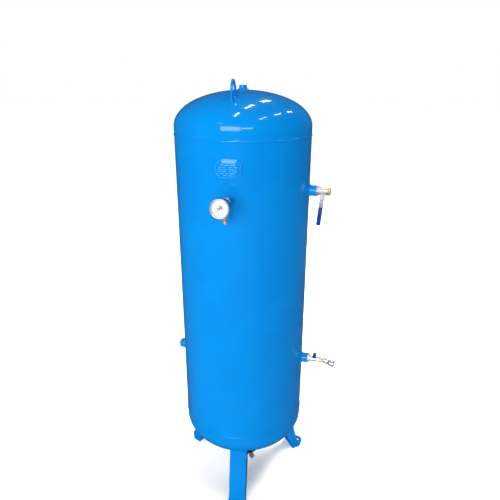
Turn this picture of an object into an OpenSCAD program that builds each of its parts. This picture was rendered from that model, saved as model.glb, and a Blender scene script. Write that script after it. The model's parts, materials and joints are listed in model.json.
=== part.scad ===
// Vertical compressed-air receiver on three legs.
// Origin: tank axis at floor level. +Z up, the gauge faces -Y.
// A fitting's place is its turn about the tank axis, counted from -Y towards +X, and its height.

/* [Tank] */
// Outside diameter of the shell and the heads
tank_d = 500; // [420:1:610]
// Length of the rolled shell between its two seams
shell_len = 1170; // [960:1:1450]
// Wall of the rolled shell
shell_t = 4; // [3:0.5:8]
// Wall of the pressed heads
head_t = 4; // [3:0.5:8]
// Outside depth of a head beyond its straight flange
head_h = 122; // [100:1:150]
// Straight flange of a head
head_flange = 30; // [20:1:50]
// Height of the lowest point of the tank above the floor
ground_gap = 185; // [160:1:240]
// Width of a weld bead on a seam
bead_w = 10; // [6:0.5:14]
// Height of a weld bead above the plate
bead_h = 2; // [1:0.1:3]
// Turn of the long seam of the shell
long_seam_turn = 180; // [120:1:240]

/* [Legs and feet] */
// Turn of the front leg
leg_turn = 5; // [-20:1:20]
// Number of legs
leg_n = 3; // [3:1:3]
// Width of the pressed channel
leg_w = 70; // [56:1:90]
// Plate thickness of the channel
leg_t = 4; // [3:0.5:6]
// How far the leg stands out past the shell at the foot
leg_spread = 28; // [10:1:45]
// How far inside the shell's radius the web meets the head
leg_tuck = 37; // [28:1:50]
// Depth of the channel's sides at the foot
leg_side_foot = 35; // [25:1:45]
// Depth of the channel's sides at the head
leg_side_top = 60; // [50:1:70]
// Thickness of the foot plate
foot_t = 8; // [6:1:12]
// How much wider than the leg the foot plate is
foot_extra = 14; // [6:1:24]
// Radius of the ear that holds the anchor bolt
ear_r = 28; // [24:1:34]
// Anchor hole beyond the leg's web
anchor_out = 13; // [11:1:18]
// Diameter of the anchor hole
anchor_d = 18; // [14:1:22]

/* [Lifting lug] */
// Turn of the lifting lug
lug_turn = -1; // [-20:1:20]
// Distance of the lug's middle from the tank axis
lug_r = 140; // [115:1:160]
// Lean of the lug away from upright
lug_lean = 19; // [0:1:25]
// Thickness of the lug plate
lug_t = 6; // [5:0.5:12]
// Width of the lug at the dome
lug_w = 76; // [66:1:90]
// Height of the eye above the dome
lug_eye_h = 30; // [26:1:40]
// Radius of the lug's round top
lug_top_r = 28; // [24:1:32]
// Diameter of the lifting eye
lug_eye_d = 32; // [20:1:36]

/* [Sockets] */
// Turn of the two fittings on the right
right_turn = 85; // [60:1:110]
// Main outlet below the top seam
outlet_down = 195; // [170:1:260]
// Service outlet above the bottom seam
service_up = 267; // [160:1:400]
// Plugged port on the left above the bottom seam
spare_up = 263; // [160:1:400]
// Outside diameter of a large socket
big_od = 39; // [37:1:44]
// Thread bore of a large socket
big_bore = 30.3; // [28:0.1:31]
// How far a large socket stands out from the shell
big_out = 29; // [22:1:40]
// Outside diameter of a small socket
small_od = 27; // [25:1:32]
// Thread bore of a small socket
small_bore = 18.6; // [16:0.1:19]
// How far the gauge socket stands out from the shell
gauge_out = 24; // [18:1:30]
// How far the top socket stands above the dome
top_out = 16; // [12:1:24]
// How far the drain socket hangs below the tank
drain_out = 16; // [12:1:22]
// How far a socket reaches inside the wall
socket_in = 5; // [3:1:10]
// Leg of the fillet weld round a socket
fillet = 7; // [4:0.5:9]
// Clearance of a screwed thread on the radius
thread_gap = 0.05; // [0.02:0.01:0.1]
// Length of screwed thread in a joint
thread_len = 12; // [10:0.5:15]

/* [Nameplate] */
// Middle of the nameplate below the top seam
plate_down = 86; // [70:1:110]
// Width of the nameplate without its ears
plate_w = 87; // [70:1:100]
// Height of the nameplate
plate_h = 63; // [50:1:75]
// Thickness of the nameplate
plate_t = 1.6; // [1:0.1:3]
// Length of each pointed ear
plate_ear = 7; // [6:0.5:10]

/* [Pressure gauge] */
// Gauge below the top seam
gauge_down = 187; // [170:1:230]
// Distance of the tee's upright from the shell
tee_out = 50; // [46:1:56]
// Distance of the dial glass from the shell
face_out = 124; // [118:1:132]
// Outside diameter of the gauge case
case_d = 61; // [56:1:66]
// Depth of the gauge case
case_len = 34; // [30:1:38]
// Wall of the gauge case
case_t = 1.5; // [1:0.25:2]
// Sweep of the pointer over the dial
dial_sweep = 270; // [240:10:300]

/* [Main outlet] */
// Ball radius of the outlet valve
out_ball_r = 11; // [9:0.5:12]
// Length of the lever from its pivot
lever_len = 122; // [100:1:150]
// Length of the lever's sleeve
sleeve_len = 72; // [50:1:90]
// Width of the lever's sleeve
sleeve_w = 16; // [14:0.5:20]
// Lean of the lever past square towards the tank
lever_lean = 5; // [0:1:8]

/* [Service outlet and drain] */
// Ball radius of the small valves
small_ball_r = 7; // [6:0.5:8]
// Length of a wing handle from tip to tip
wing_len = 40; // [32:1:42]
// Width of a wing handle
wing_w = 13; // [12:0.5:18]
// Drop of the hose coupling below level
droop = 18; // [5:1:20]
// Outside diameter of the coupling's sliding sleeve
coupler_od = 26; // [24:0.5:30]
// Bore that takes the hose plug
coupler_bore = 9.6; // [9:0.1:11]
// Travel of the coupling's sleeve
coupler_travel = 5; // [3:0.5:6]
// Turn of the drain valve
drain_turn = 30; // [10:1:45]
// Drop from the tank to the drain pipe's axis
drain_drop = 70; // [60:1:80]
// Length of the nipple between the elbow and the drain valve
nipple_len = 58; // [40:1:70]

/* [Hidden] */

eps = 0.01;
round_fn = 96;
small_fn = 48;
run_gap = 0.05;         // radial clearance of a shaft in its hole
seat_gap = 0.3;         // clearance between a ball and its seats
tank_r = tank_d / 2;
z_low_tan = ground_gap + head_h;
z_low_seam = z_low_tan + head_flange;
z_top_seam = z_low_seam + shell_len;
outlet_z = z_top_seam - outlet_down;
service_z = z_low_seam + service_up;
spare_z = z_low_seam + spare_up;
plate_z = z_top_seam - plate_down;
gauge_z = z_top_seam - gauge_down;
z_top_tan = z_top_seam + head_flange;
z_top = z_top_tan + head_h;
paint = [0.02, 0.55, 0.90];
nickel = [0.80, 0.80, 0.78];
brass = [0.80, 0.68, 0.42];
navy = [0.02, 0.08, 0.40];
ptfe = [0.93, 0.93, 0.90];
steel = [0.65, 0.66, 0.68];

// ---- places ----

// Fitting frame: z outwards from the tank axis, y up, x to the right seen from outside
module on_side(turn, z) {
    translate([0, 0, z]) rotate([0, 0, turn]) rotate([90, 0, 0]) children();
}

// Upright plane through the tank axis: the outline's x is the radius and its y the height
module upright_plate(turn, width) {
    rotate([0, 0, turn - 90]) rotate([90, 0, 0]) translate([0, 0, -width / 2])
        linear_extrude(width) children();
}

// Hexagon of a given width across flats
module hex(af, h) {
    cylinder(d = af / cos(30), h = h, $fn = 6);
}

// Points of a head's quarter ellipse, from its rim to its pole
function quarter(r, h, n = 30) = [for (i = [0 : n]) [r * cos(90 * i / n), h * sin(90 * i / n)]];

// Height of the head's outside above its tangent line at a radius
function head_rise(r) = head_h * sqrt(1 - pow(r / tank_r, 2));

module head_outline() {
    polygon(concat([[0, -head_flange], [tank_r, -head_flange]], quarter(tank_r, head_h)));
}

module head_space() {
    polygon(concat([[0, -head_flange - 1], [tank_r - head_t, -head_flange - 1]],
        quarter(tank_r - head_t, head_h - head_t)));
}

module head_solid() {
    rotate_extrude($fn = 180) head_outline();
}

module head_cup() {
    rotate_extrude($fn = 180) difference() {
        head_outline();
        head_space();
    }
}

module place_top() {
    translate([0, 0, z_top_tan]) children();
}

module place_bottom() {
    translate([0, 0, z_low_tan]) mirror([0, 0, 1]) children();
}

// ---- tank ----

side_ports = [
    [right_turn, outlet_z, big_od],
    [right_turn, service_z, big_od],
    [-90, spare_z, big_od],
    [0, gauge_z, small_od]
];

module shell() {
    color(paint) difference() {
        translate([0, 0, z_low_seam]) cylinder(r = tank_r, h = shell_len, $fn = 180);
        translate([0, 0, z_low_seam - 1])
            cylinder(r = tank_r - shell_t, h = shell_len + 2, $fn = 180);
        for (p = side_ports) on_side(p[0], p[1]) translate([0, 0, tank_r / 2])
            cylinder(d = p[2], h = tank_r, $fn = round_fn);
    }
}

module top_head() {
    color(paint) difference() {
        place_top() head_cup();
        translate([0, 0, z_top_tan]) cylinder(d = small_od, h = head_h + top_out, $fn = round_fn);
    }
}

module bottom_head() {
    color(paint) difference() {
        place_bottom() head_cup();
        translate([0, 0, 0]) cylinder(d = small_od, h = z_low_tan, $fn = round_fn);
    }
}

// Cross-section of a bead on a plate whose surface is the y axis
bead_r = (pow(bead_w / 2, 2) + pow(bead_h, 2)) / (2 * bead_h);
module bead_section() {
    intersection() {
        translate([bead_h - bead_r, 0]) circle(r = bead_r, $fn = round_fn);
        translate([0, -bead_w]) square([bead_h + 1, 2 * bead_w]);
    }
}

module seam_welds() {
    clear = bead_w / 2 + 0.5;
    color(paint) {
        for (z = [z_low_seam, z_top_seam]) translate([0, 0, z]) rotate_extrude($fn = 180)
            translate([tank_r, 0]) bead_section();
        translate([0, 0, z_low_seam + clear]) rotate([0, 0, long_seam_turn - 90])
            linear_extrude(shell_len - 2 * clear) difference() {
                translate([tank_r + bead_h - bead_r, 0]) circle(r = bead_r, $fn = round_fn);
                circle(r = tank_r, $fn = 1440);
            }
    }
}

// Tapered ring of weld round a socket that leaves the surface at height 0
module fillet_ring(od) {
    sink = fillet / 2;
    difference() {
        translate([0, 0, -sink]) cylinder(d1 = od + 2 * fillet + 2 * sink, d2 = od + eps,
            h = fillet + sink, $fn = round_fn);
        translate([0, 0, -sink - 1]) cylinder(d = od, h = fillet + sink + 2, $fn = round_fn);
    }
}

module socket_welds() {
    color(paint) {
        difference() {
            for (p = side_ports) on_side(p[0], p[1]) translate([0, 0, tank_r]) fillet_ring(p[2]);
            translate([0, 0, z_low_seam]) cylinder(r = tank_r, h = shell_len, $fn = 180);
        }
        difference() {
            translate([0, 0, z_top]) fillet_ring(small_od);
            place_top() head_solid();
        }
        difference() {
            translate([0, 0, ground_gap]) mirror([0, 0, 1]) fillet_ring(small_od);
            place_bottom() head_solid();
        }
    }
}

// ---- legs and feet ----

foot_r = tank_r + leg_spread;
knee_r = tank_r - leg_tuck;
knee_z = z_low_tan - head_rise(knee_r);
hip_r = knee_r - leg_side_top;
hip_z = z_low_tan - head_rise(hip_r);
leg_over = 0.15;        // share of its length by which the blank passes into the head
ear_set = 8;            // anchor hole beyond the middle of the ear's arc
ear_span = 60;          // half the angle of the ear's arc

function beyond(a, b, k) = b + (b - a) * k;

module leg_blank(shift, inner) {
    web_foot = [foot_r - shift, foot_t - shift];
    web_top = [knee_r - shift, knee_z];
    side_top = [hip_r - inner, hip_z];
    side_foot = [foot_r - leg_side_foot - inner, foot_t - shift];
    polygon([web_foot, beyond(web_foot, web_top, leg_over),
        beyond(side_foot, side_top, leg_over), side_foot]);
}

module leg(i) {
    turn = leg_turn + i * 360 / leg_n;
    color(paint) difference() {
        upright_plate(turn, leg_w) leg_blank(0, 0);
        upright_plate(turn, leg_w - 2 * leg_t) leg_blank(leg_t, 40);
        place_bottom() head_solid();
    }
}

module foot(i) {
    ear_at = foot_r + anchor_out - ear_set;
    plate_back = leg_side_foot + 3;
    half = (leg_w + foot_extra) / 2;
    color(paint) rotate([0, 0, leg_turn + i * 360 / leg_n - 90]) linear_extrude(foot_t)
        difference() {
            polygon(concat([[foot_r - plate_back, -half], [foot_r, -half]],
                [for (a = [-ear_span : 5 : ear_span]) [ear_at + ear_r * cos(a), ear_r * sin(a)]],
                [[foot_r, half], [foot_r - plate_back, half]]));
            translate([foot_r + anchor_out, 0]) circle(d = anchor_d, $fn = round_fn);
        }
}

module leg_front() { leg(0); }
module leg_right() { leg(1); }
module leg_left() { leg(2); }
module foot_front() { foot(0); }
module foot_right() { foot(1); }
module foot_left() { foot(2); }

// ---- lifting lug ----

module lifting_lug() {
    half = lug_w / 2;
    side_x = lug_top_r * cos(12);
    color(paint) difference() {
        upright_plate(lug_turn, lug_t)
            translate([lug_r, z_top_tan + head_rise(lug_r)]) rotate(-lug_lean) difference() {
                union() {
                    polygon([[-half, -14], [half, -14], [half, 2],
                        [side_x, lug_eye_h + lug_top_r * sin(12)],
                        [-side_x, lug_eye_h + lug_top_r * sin(12)], [-half, 2]]);
                    translate([0, lug_eye_h]) circle(r = lug_top_r, $fn = round_fn);
                }
                translate([0, lug_eye_h]) circle(d = lug_eye_d, $fn = round_fn);
            }
        place_top() head_solid();
    }
}

// ---- sockets ----

module tube(od, bore, from, to) {
    difference() {
        translate([0, 0, from]) cylinder(d = od, h = to - from, $fn = round_fn);
        translate([0, 0, from - 1]) cylinder(d = bore, h = to - from + 2, $fn = round_fn);
    }
}

side_in = tank_r - shell_t - socket_in;
big_face = tank_r + big_out;
gauge_face = tank_r + gauge_out;
drain_face = ground_gap - drain_out;

module outlet_socket() {
    color(paint) on_side(right_turn, outlet_z) tube(big_od, big_bore, side_in, big_face);
}

module service_socket() {
    color(paint) on_side(right_turn, service_z) tube(big_od, big_bore, side_in, big_face);
}

module spare_socket() {
    color(paint) on_side(-90, spare_z) tube(big_od, big_bore, side_in, big_face);
}

module gauge_socket() {
    color(paint) on_side(0, gauge_z) tube(small_od, small_bore, side_in, gauge_face);
}

module top_socket() {
    color(paint) tube(small_od, small_bore, z_top - head_t - socket_in, z_top + top_out);
}

module drain_socket() {
    color(paint) tube(small_od, small_bore, drain_face, ground_gap + head_t + socket_in);
}

// Male thread of a screwed joint, up to the shoulder at height 0
module male(bore, len = thread_len) {
    translate([0, 0, -len]) cylinder(d = bore - 2 * thread_gap, h = len + eps, $fn = small_fn);
}

module spare_plug() {
    color(brass) on_side(-90, spare_z) translate([0, 0, big_face]) difference() {
        union() {
            male(big_bore);
            cylinder(d = big_od - 4, h = 3, $fn = round_fn);
            translate([0, 0, 3 - eps]) hex(17, 7);
        }
        translate([0, 0, -thread_len - 1]) cylinder(d = big_bore - 6, h = thread_len, $fn = small_fn);
    }
}

// ---- nameplate ----

module plate_outline() {
    cut = plate_h * 0.28;
    x = plate_w / 2;
    y = plate_h / 2;
    polygon([[-x + cut, y], [x - cut, y], [x, y - cut], [x, 6], [x + plate_ear, 0], [x, -6],
        [x, cut - y], [x - cut, -y], [cut - x, -y], [-x, cut - y], [-x, -6],
        [-x - plate_ear, 0], [-x, 6], [-x, y - cut]]);
}

rivet_x = plate_w / 2 - 2;
module nameplate() {
    color(paint) difference() {
        intersection() {
            on_side(0, plate_z) linear_extrude(tank_d) plate_outline();
            translate([0, 0, z_low_seam]) difference() {
                cylinder(r = tank_r + plate_t, h = shell_len, $fn = 180);
                translate([0, 0, -1]) cylinder(r = tank_r, h = shell_len + 2, $fn = 180);
            }
        }
        for (x = [-rivet_x, rivet_x]) on_side(0, plate_z) translate([x, 0, tank_r - 10])
            cylinder(d = 3.2, h = 20, $fn = small_fn);
    }
}

module rivet_at(x) {
    on_side(0, plate_z) translate([x, 0, sqrt(pow(tank_r + plate_t, 2) - x * x)]) children();
}

module nameplate_rivets() {
    color(paint) for (x = [-rivet_x, rivet_x]) {
        difference() {
            rivet_at(x) translate([0, 0, -1]) cylinder(d1 = 6, d2 = 4, h = 2.4, $fn = round_fn);
            translate([0, 0, z_low_seam]) cylinder(r = tank_r + plate_t + run_gap, h = shell_len,
                $fn = 720);
        }
        difference() {
            rivet_at(x) translate([0, 0, -10]) cylinder(d = 3.1, h = 10.8, $fn = round_fn);
            translate([0, 0, z_low_seam]) cylinder(r = tank_r, h = shell_len, $fn = 720);
        }
    }
}

// ---- gauge tee and relief valve ----

tee_r = tank_r + tee_out;
tee_bar = 11;           // radius of the tee's upright barrel
tee_front = 16;         // from the upright's axis to the tee's front face
tee_low = 24;           // from the tee's axis to its lower face
port_d = 11.8;          // bore of the two small threads
relief_bore = 14;

module gauge_tee() {
    color(nickel) on_side(0, gauge_z) difference() {
        union() {
            translate([0, 0, gauge_face]) male(small_bore);
            translate([0, 0, gauge_face]) hex(24, 9);
            translate([0, 0, gauge_face + 8]) cylinder(r = tee_bar - 2, h = tee_r - gauge_face,
                $fn = small_fn);
            translate([0, 0, tee_r]) cylinder(r = tee_bar - 2, h = tee_front, $fn = small_fn);
            translate([0, tee_bar + 2, tee_r]) rotate([90, 0, 0])
                cylinder(r = tee_bar, h = tee_bar + 2 + tee_low, $fn = round_fn);
        }
        translate([0, 0, gauge_face - thread_len - 1])
            cylinder(d = 7, h = tee_r - gauge_face + thread_len + 1, $fn = small_fn);
        translate([0, 0, tee_r - eps]) cylinder(d = 7, h = tee_front, $fn = small_fn);
        translate([0, 0, tee_r + tee_front - thread_len])
            cylinder(d = port_d, h = thread_len + 1, $fn = small_fn);
        translate([0, eps, tee_r]) rotate([90, 0, 0]) cylinder(d = 7, h = tee_low, $fn = small_fn);
        translate([0, thread_len - tee_low, tee_r]) rotate([90, 0, 0])
            cylinder(d = port_d, h = thread_len + 1, $fn = small_fn);
    }
}

// Relief valve frame: z straight down from the tee's lower face
module relief_frame() {
    on_side(0, gauge_z) translate([0, -tee_low, tee_r]) rotate([90, 0, 0]) children();
}

relief_len = 34;        // body below the tee
relief_seat = 5;        // depth of the seat below the shoulder
bonnet_in = 7;          // bonnet thread inside the body
spring_top = relief_seat + 4.4;
spring_end = relief_len - bonnet_in - 0.3;

module relief_body() {
    color(nickel) relief_frame() difference() {
        union() {
            male(port_d);
            hex(19, 7);
            translate([0, 0, 6]) cylinder(r = tee_bar - 1, h = relief_len - 6, $fn = round_fn);
        }
        translate([0, 0, -thread_len - 1]) cylinder(d = 6, h = 30, $fn = small_fn);
        translate([0, 0, relief_seat]) cylinder(d = relief_bore, h = relief_len, $fn = small_fn);
    }
}

flange_h = 1.5;
module relief_bonnet() {
    color(brass) relief_frame() difference() {
        union() {
            translate([0, 0, relief_len]) male(relief_bore, bonnet_in);
            translate([0, 0, relief_len]) cylinder(d = relief_bore + 3, h = flange_h, $fn = small_fn);
        }
        translate([0, 0, relief_len - bonnet_in - 1])
            cylinder(d = pull_d + 2 * run_gap, h = bonnet_in + 20, $fn = small_fn);
    }
}

pull_d = 4;
knob_at = relief_len + flange_h + 0.3;
knob_h = 10;
module relief_stem() {
    color(brass) relief_frame() {
        translate([0, 0, relief_seat + 0.1]) cylinder(d = relief_bore - 1, h = 4, $fn = small_fn);
        translate([0, 0, relief_seat + 4]) cylinder(d = pull_d,
            h = knob_at + knob_h - 2 - relief_seat - 4, $fn = small_fn);
    }
}

module relief_knob() {
    color(nickel) relief_frame() translate([0, 0, knob_at]) difference() {
        union() {
            cylinder(d = relief_bore, h = knob_h - 1, $fn = small_fn);
            translate([0, 0, knob_h - 1 - eps]) cylinder(d1 = relief_bore, d2 = relief_bore - 2,
                h = 1, $fn = small_fn);
        }
        translate([0, 0, -1]) cylinder(d = pull_d + 2 * thread_gap, h = knob_h - 1, $fn = small_fn);
    }
}

// Round wire swept along a helix as one closed solid
module coil(mean_r, wire_d, height, turns) {
    sides = 8;
    steps = 14 * turns;
    rise = (height - wire_d) / steps;
    rings = [for (i = [0 : steps]) let (a = 360 * i * turns / steps)
        [for (k = [0 : sides - 1]) let (b = 360 * k / sides, r = mean_r + cos(b) * wire_d / 2)
            [r * cos(a), r * sin(a), wire_d / 2 + rise * i + sin(b) * wire_d / 2]]];
    polyhedron(points = [for (r = rings) each r], faces = concat(
        [[for (k = [0 : sides - 1]) k]],
        [for (i = [0 : steps - 1]) for (k = [0 : sides - 1]) let (n = (k + 1) % sides)
            [i * sides + k, (i + 1) * sides + k, (i + 1) * sides + n, i * sides + n]],
        [[for (k = [sides - 1 : -1 : 0]) steps * sides + k]]));
}

module relief_spring() {
    color(steel) relief_frame() translate([0, 0, spring_top])
        coil(4.6, 1.2, spring_end - spring_top, 6);
}

// ---- pressure gauge ----

glass_r = tank_r + face_out;            // outer face of the glass
case_back = glass_r + 1 - case_len;
dial_at = glass_r - 8;
case_in = case_d / 2 - case_t;
arbor_r = 1;

module on_gauge(r) {
    on_side(0, gauge_z) translate([0, 0, r]) children();
}

tee_face = tee_r + tee_front;
module gauge_stem() {
    color(brass) difference() {
        union() {
            on_gauge(tee_face) male(port_d);
            on_gauge(tee_face) hex(14, case_back - tee_face);
            on_gauge(case_back - eps) cylinder(d = 11, h = 7, $fn = small_fn);
        }
        on_gauge(tee_face - thread_len - 1) cylinder(d = 3, h = thread_len + 12, $fn = small_fn);
    }
}

module gauge_case() {
    color([0.02, 0.03, 0.08]) difference() {
        union() {
            on_gauge(case_back) cylinder(d1 = case_d - 4, d2 = case_d, h = 2, $fn = round_fn);
            on_gauge(case_back + 2 - eps) cylinder(d = case_d, h = case_len - 7 + eps,
                $fn = round_fn);
        }
        on_gauge(case_back + case_t) cylinder(r = case_in, h = case_len, $fn = round_fn);
        on_gauge(case_back - 1) cylinder(d = 11 + 2 * thread_gap, h = 5, $fn = small_fn);
    }
}

case_front = case_back + case_len - 5;
bezel_back = case_front - 4;
bezel_lip = 1.2;
module gauge_bezel() {
    bezel_d = case_d + 2 * bezel_lip;
    color(steel) difference() {
        union() {
            on_gauge(bezel_back) cylinder(d = bezel_d, h = glass_r - bezel_back, $fn = round_fn);
            on_gauge(glass_r - eps) cylinder(d1 = bezel_d, d2 = case_d - 1, h = bezel_lip,
                $fn = round_fn);
        }
        on_gauge(bezel_back - 1) cylinder(d = case_d + 2 * thread_gap,
            h = case_front - bezel_back + 1, $fn = round_fn);
        on_gauge(case_front - eps) cylinder(r = case_in, h = glass_r - case_front + eps,
            $fn = round_fn);
        on_gauge(bezel_back - 1) cylinder(r = case_in - 1.5, h = 20, $fn = round_fn);
    }
}

module gauge_glass() {
    color([0.9, 0.95, 1, 0.3]) on_gauge(glass_r - 2)
        cylinder(r = case_in - thread_gap, h = 2, $fn = round_fn);
}

module gauge_dial() {
    color("white") difference() {
        on_gauge(dial_at) cylinder(r = case_in - thread_gap, h = 1, $fn = round_fn);
        on_gauge(dial_at - 1) cylinder(r = arbor_r + 1, h = 4, $fn = small_fn);
    }
}

tube_ring = 20;
frame_back = case_back + 11;            // back of the movement
module bourdon_tube() {
    color(brass) on_gauge(case_back + 6) rotate([0, 0, 120]) union() {
        rotate_extrude(angle = 250, $fn = round_fn) translate([tube_ring - 1, -3]) square([2, 6]);
        translate([5.6, -2, -3]) cube([tube_ring - 5.6, 4, 6]);
    }
}

// Movement: two plates on pillars, the sector's pivot and the pointer's arbor between them
sector_arm = 14.3;
mesh_gap = 0.25;
pinion_r = 1.5;
sector_ratio = (sector_arm - pinion_r) / pinion_r;
module gauge_frame() {
    color(brass) difference() {
        union() {
            for (z = [frame_back, frame_back + 9]) on_gauge(z) difference() {
                translate([-9, -sector_arm - 4, 0]) cube([18, sector_arm + 10, 1.2]);
                translate([0, 0, -1]) cylinder(r = arbor_r + run_gap, h = 4, $fn = small_fn);
                translate([0, -sector_arm, -1]) cylinder(r = 0.8 + run_gap, h = 4, $fn = small_fn);
            }
            for (x = [-7, 7]) on_gauge(frame_back) translate([x, 4, 1])
                cylinder(r = 1.2, h = 8.4, $fn = small_fn);
            on_gauge(case_back + 7) cylinder(r = 5, h = frame_back - case_back - 7, $fn = small_fn);
        }
        on_gauge(case_back + 6) cylinder(r = arbor_r + run_gap, h = 8, $fn = small_fn);
    }
}

module gauge_sector() {
    reach = sector_arm - pinion_r - mesh_gap / 2;
    color(brass) on_gauge(frame_back + 4) translate([0, -sector_arm, 0])
        rotate([0, 0, -dial_sweep / sector_ratio / 2]) {
        translate([0, 0, -3.8]) cylinder(r = 0.8, h = 9.6, $fn = small_fn);
        difference() {
            linear_extrude(1.4) intersection() {
                circle(r = reach, $fn = round_fn);
                polygon([[0, -3], [-reach * 0.65, reach], [reach * 0.65, reach]]);
            }
            translate([0, 0, -1]) difference() {
                cylinder(r = reach - 2.5, h = 4, $fn = small_fn);
                cylinder(r = 3, h = 4, $fn = small_fn);
                translate([-1.2, 0, 0]) cube([2.4, reach, 4]);
            }
        }
    }
}

zero_turn = dial_sweep / 2;             // pointer at zero, counted anticlockwise from straight up
module gauge_pointer() {
    color([0.05, 0.05, 0.05]) {
        on_gauge(frame_back + 0.2) cylinder(r = arbor_r, h = dial_at + 1.4 - frame_back,
            $fn = small_fn);
        on_gauge(frame_back + 3) cylinder(r = pinion_r - mesh_gap / 2, h = 3.5, $fn = small_fn);
        on_gauge(dial_at + 1.5) rotate([0, 0, zero_turn]) {
            cylinder(r = 3, h = 1.6, $fn = small_fn);
            translate([0, 0, 0.3]) linear_extrude(0.6)
                polygon([[-1.2, -8], [1.2, -8], [0.25, case_d * 0.33], [-0.25, case_d * 0.33]]);
        }
    }
}

// ---- ball valves ----
// Valve frame: z along the pipe from the inlet shoulder, stem along +y.
// A valve is [ball radius, bore, inlet thread, hexagon, barrel radius, middle, cap, end, stem, tower]

port_deep = 9;          // depth of a valve's outlet thread
out_valve = [out_ball_r, 14, small_bore, 26, out_ball_r + 4.5, 19, 33, 44, 4, 24];
mini_valve = [small_ball_r, 8, port_d, 19, small_ball_r + 3, 14, 24, 32, 3, 14];

function v_ball(v) = v[0];
function v_bore(v) = v[1];
function v_in(v) = v[2];
function v_hex(v) = v[3];
function v_barrel(v) = v[4];
function v_mid(v) = v[5];
function v_cap(v) = v[6];
function v_end(v) = v[7];
function v_stem(v) = v[8];
function v_tower(v) = v[9];
function v_cavity(v) = v_ball(v) + 0.5;
function v_seat(v) = v_ball(v) + 1.5;   // from the ball's middle to the back of a seat
function v_out(v) = v_in(v);            // outlet thread, the same as the inlet's

module valve_body(v) {
    difference() {
        union() {
            male(v_in(v));
            hex(v_hex(v), 7);
            translate([0, 0, 6]) cylinder(r = v_barrel(v), h = v_cap(v) - 6, $fn = round_fn);
            translate([0, 0, v_mid(v)]) rotate([-90, 0, 0])
                cylinder(r = v_stem(v) + 3, h = v_tower(v) - 4, $fn = small_fn);
        }
        translate([0, 0, -thread_len - 1]) cylinder(d = v_bore(v), h = v_mid(v) + thread_len,
            $fn = small_fn);
        translate([0, 0, v_mid(v) - v_seat(v)]) cylinder(r = v_cavity(v), h = v_end(v),
            $fn = round_fn);
        translate([0, 0, v_mid(v)]) rotate([-90, 0, 0])
            cylinder(r = v_stem(v) + run_gap, h = v_tower(v) + 1, $fn = small_fn);
    }
}

module valve_end(v) {
    difference() {
        union() {
            translate([0, 0, v_mid(v) + v_seat(v)]) cylinder(r = v_cavity(v) - thread_gap,
                h = v_cap(v) - v_mid(v) - v_seat(v) + eps, $fn = round_fn);
            translate([0, 0, v_cap(v)]) hex(v_hex(v), v_end(v) - v_cap(v));
        }
        translate([0, 0, v_mid(v)]) cylinder(d = v_bore(v), h = v_end(v), $fn = small_fn);
        translate([0, 0, v_end(v) - port_deep]) cylinder(d = v_out(v), h = port_deep + 1,
            $fn = small_fn);
    }
}

module valve_seats(v) {
    for (m = [0, 1]) translate([0, 0, v_mid(v)]) mirror([0, 0, m]) difference() {
        translate([0, 0, v_ball(v) * 0.72]) cylinder(r = v_cavity(v) - thread_gap,
            h = v_seat(v) - v_ball(v) * 0.72, $fn = round_fn);
        cylinder(d = v_bore(v), h = v_end(v), $fn = small_fn);
        sphere(r = v_ball(v) + seat_gap, $fn = round_fn);
    }
}

slot_deep = 2;
module valve_ball(v) {
    translate([0, 0, v_mid(v)]) difference() {
        rotate([0, 90, 0]) rotate_extrude($fn = round_fn) intersection() {
            circle(r = v_ball(v), $fn = round_fn);
            translate([v_bore(v) / 2 - 0.2, -v_ball(v)]) square([v_ball(v), 2 * v_ball(v)]);
        }
        translate([-v_ball(v), v_ball(v) - slot_deep, -1.1]) cube([2 * v_ball(v), 4, 2.2]);
    }
}

module valve_stem(v, top) {
    translate([0, 0, v_mid(v)]) {
        translate([-v_stem(v) + 1, v_ball(v) - slot_deep + 0.1, -1]) cube([2 * v_stem(v) - 2, 2.6, 2]);
        rotate([-90, 0, 0]) translate([0, 0, v_ball(v) + 0.5])
            cylinder(r = v_stem(v), h = top - v_ball(v) - 0.5, $fn = small_fn);
    }
}

// Flat wing handle on a hub, its wings along x, from height y upwards
module wing_handle(v, y) {
    translate([0, 0, v_mid(v)]) rotate([-90, 0, 0]) difference() {
        union() {
            translate([0, 0, y]) cylinder(r = v_stem(v) + 3, h = 7, $fn = small_fn);
            translate([0, 0, y + 2.5]) linear_extrude(4.5) union() {
                square([wing_len - wing_w, wing_w], center = true);
                for (x = [-1, 1]) translate([x * (wing_len - wing_w) / 2, 0])
                    circle(d = wing_w, $fn = small_fn);
            }
        }
        translate([0, 0, y - 1]) cylinder(r = v_stem(v) + thread_gap, h = 5.5, $fn = small_fn);
    }
}

// ---- main outlet ----

reducer_head = 7;
module reducer(turn, z, hole) {
    on_side(turn, z) translate([0, 0, big_face]) difference() {
        union() {
            male(big_bore, thread_len + 3);
            hex(big_od - 4, reducer_head);
        }
        translate([0, 0, -thread_len - 4]) cylinder(d = hole, h = 40, $fn = small_fn);
    }
}

module outlet_reducer() {
    color(nickel) reducer(right_turn, outlet_z, small_bore);
}

module outlet_frame() {
    on_side(right_turn, outlet_z) translate([0, 0, big_face + reducer_head])
        rotate([0, 0, 90]) children();
}

gland_h = 4;
lever_y = v_tower(out_valve) + 1;
lever_t = 2.5;
lever_step = 7;
nut_h = 4;
module outlet_body() { color(nickel) outlet_frame() valve_body(out_valve); }
module outlet_end() { color(brass) outlet_frame() valve_end(out_valve); }
module outlet_seats() { color(ptfe) outlet_frame() valve_seats(out_valve); }
module outlet_ball() { color(nickel) outlet_frame() valve_ball(out_valve); }
module outlet_stem() {
    color(brass) outlet_frame() valve_stem(out_valve, lever_y + lever_t + nut_h + 1.5);
}

module outlet_gland() {
    color(brass) outlet_frame() translate([0, v_tower(out_valve) - 4, v_mid(out_valve)])
        rotate([-90, 0, 0]) difference() {
            hex(14, gland_h);
            translate([0, 0, -1]) cylinder(r = v_stem(out_valve) + run_gap, h = gland_h + 2,
                $fn = small_fn);
        }
}

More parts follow.
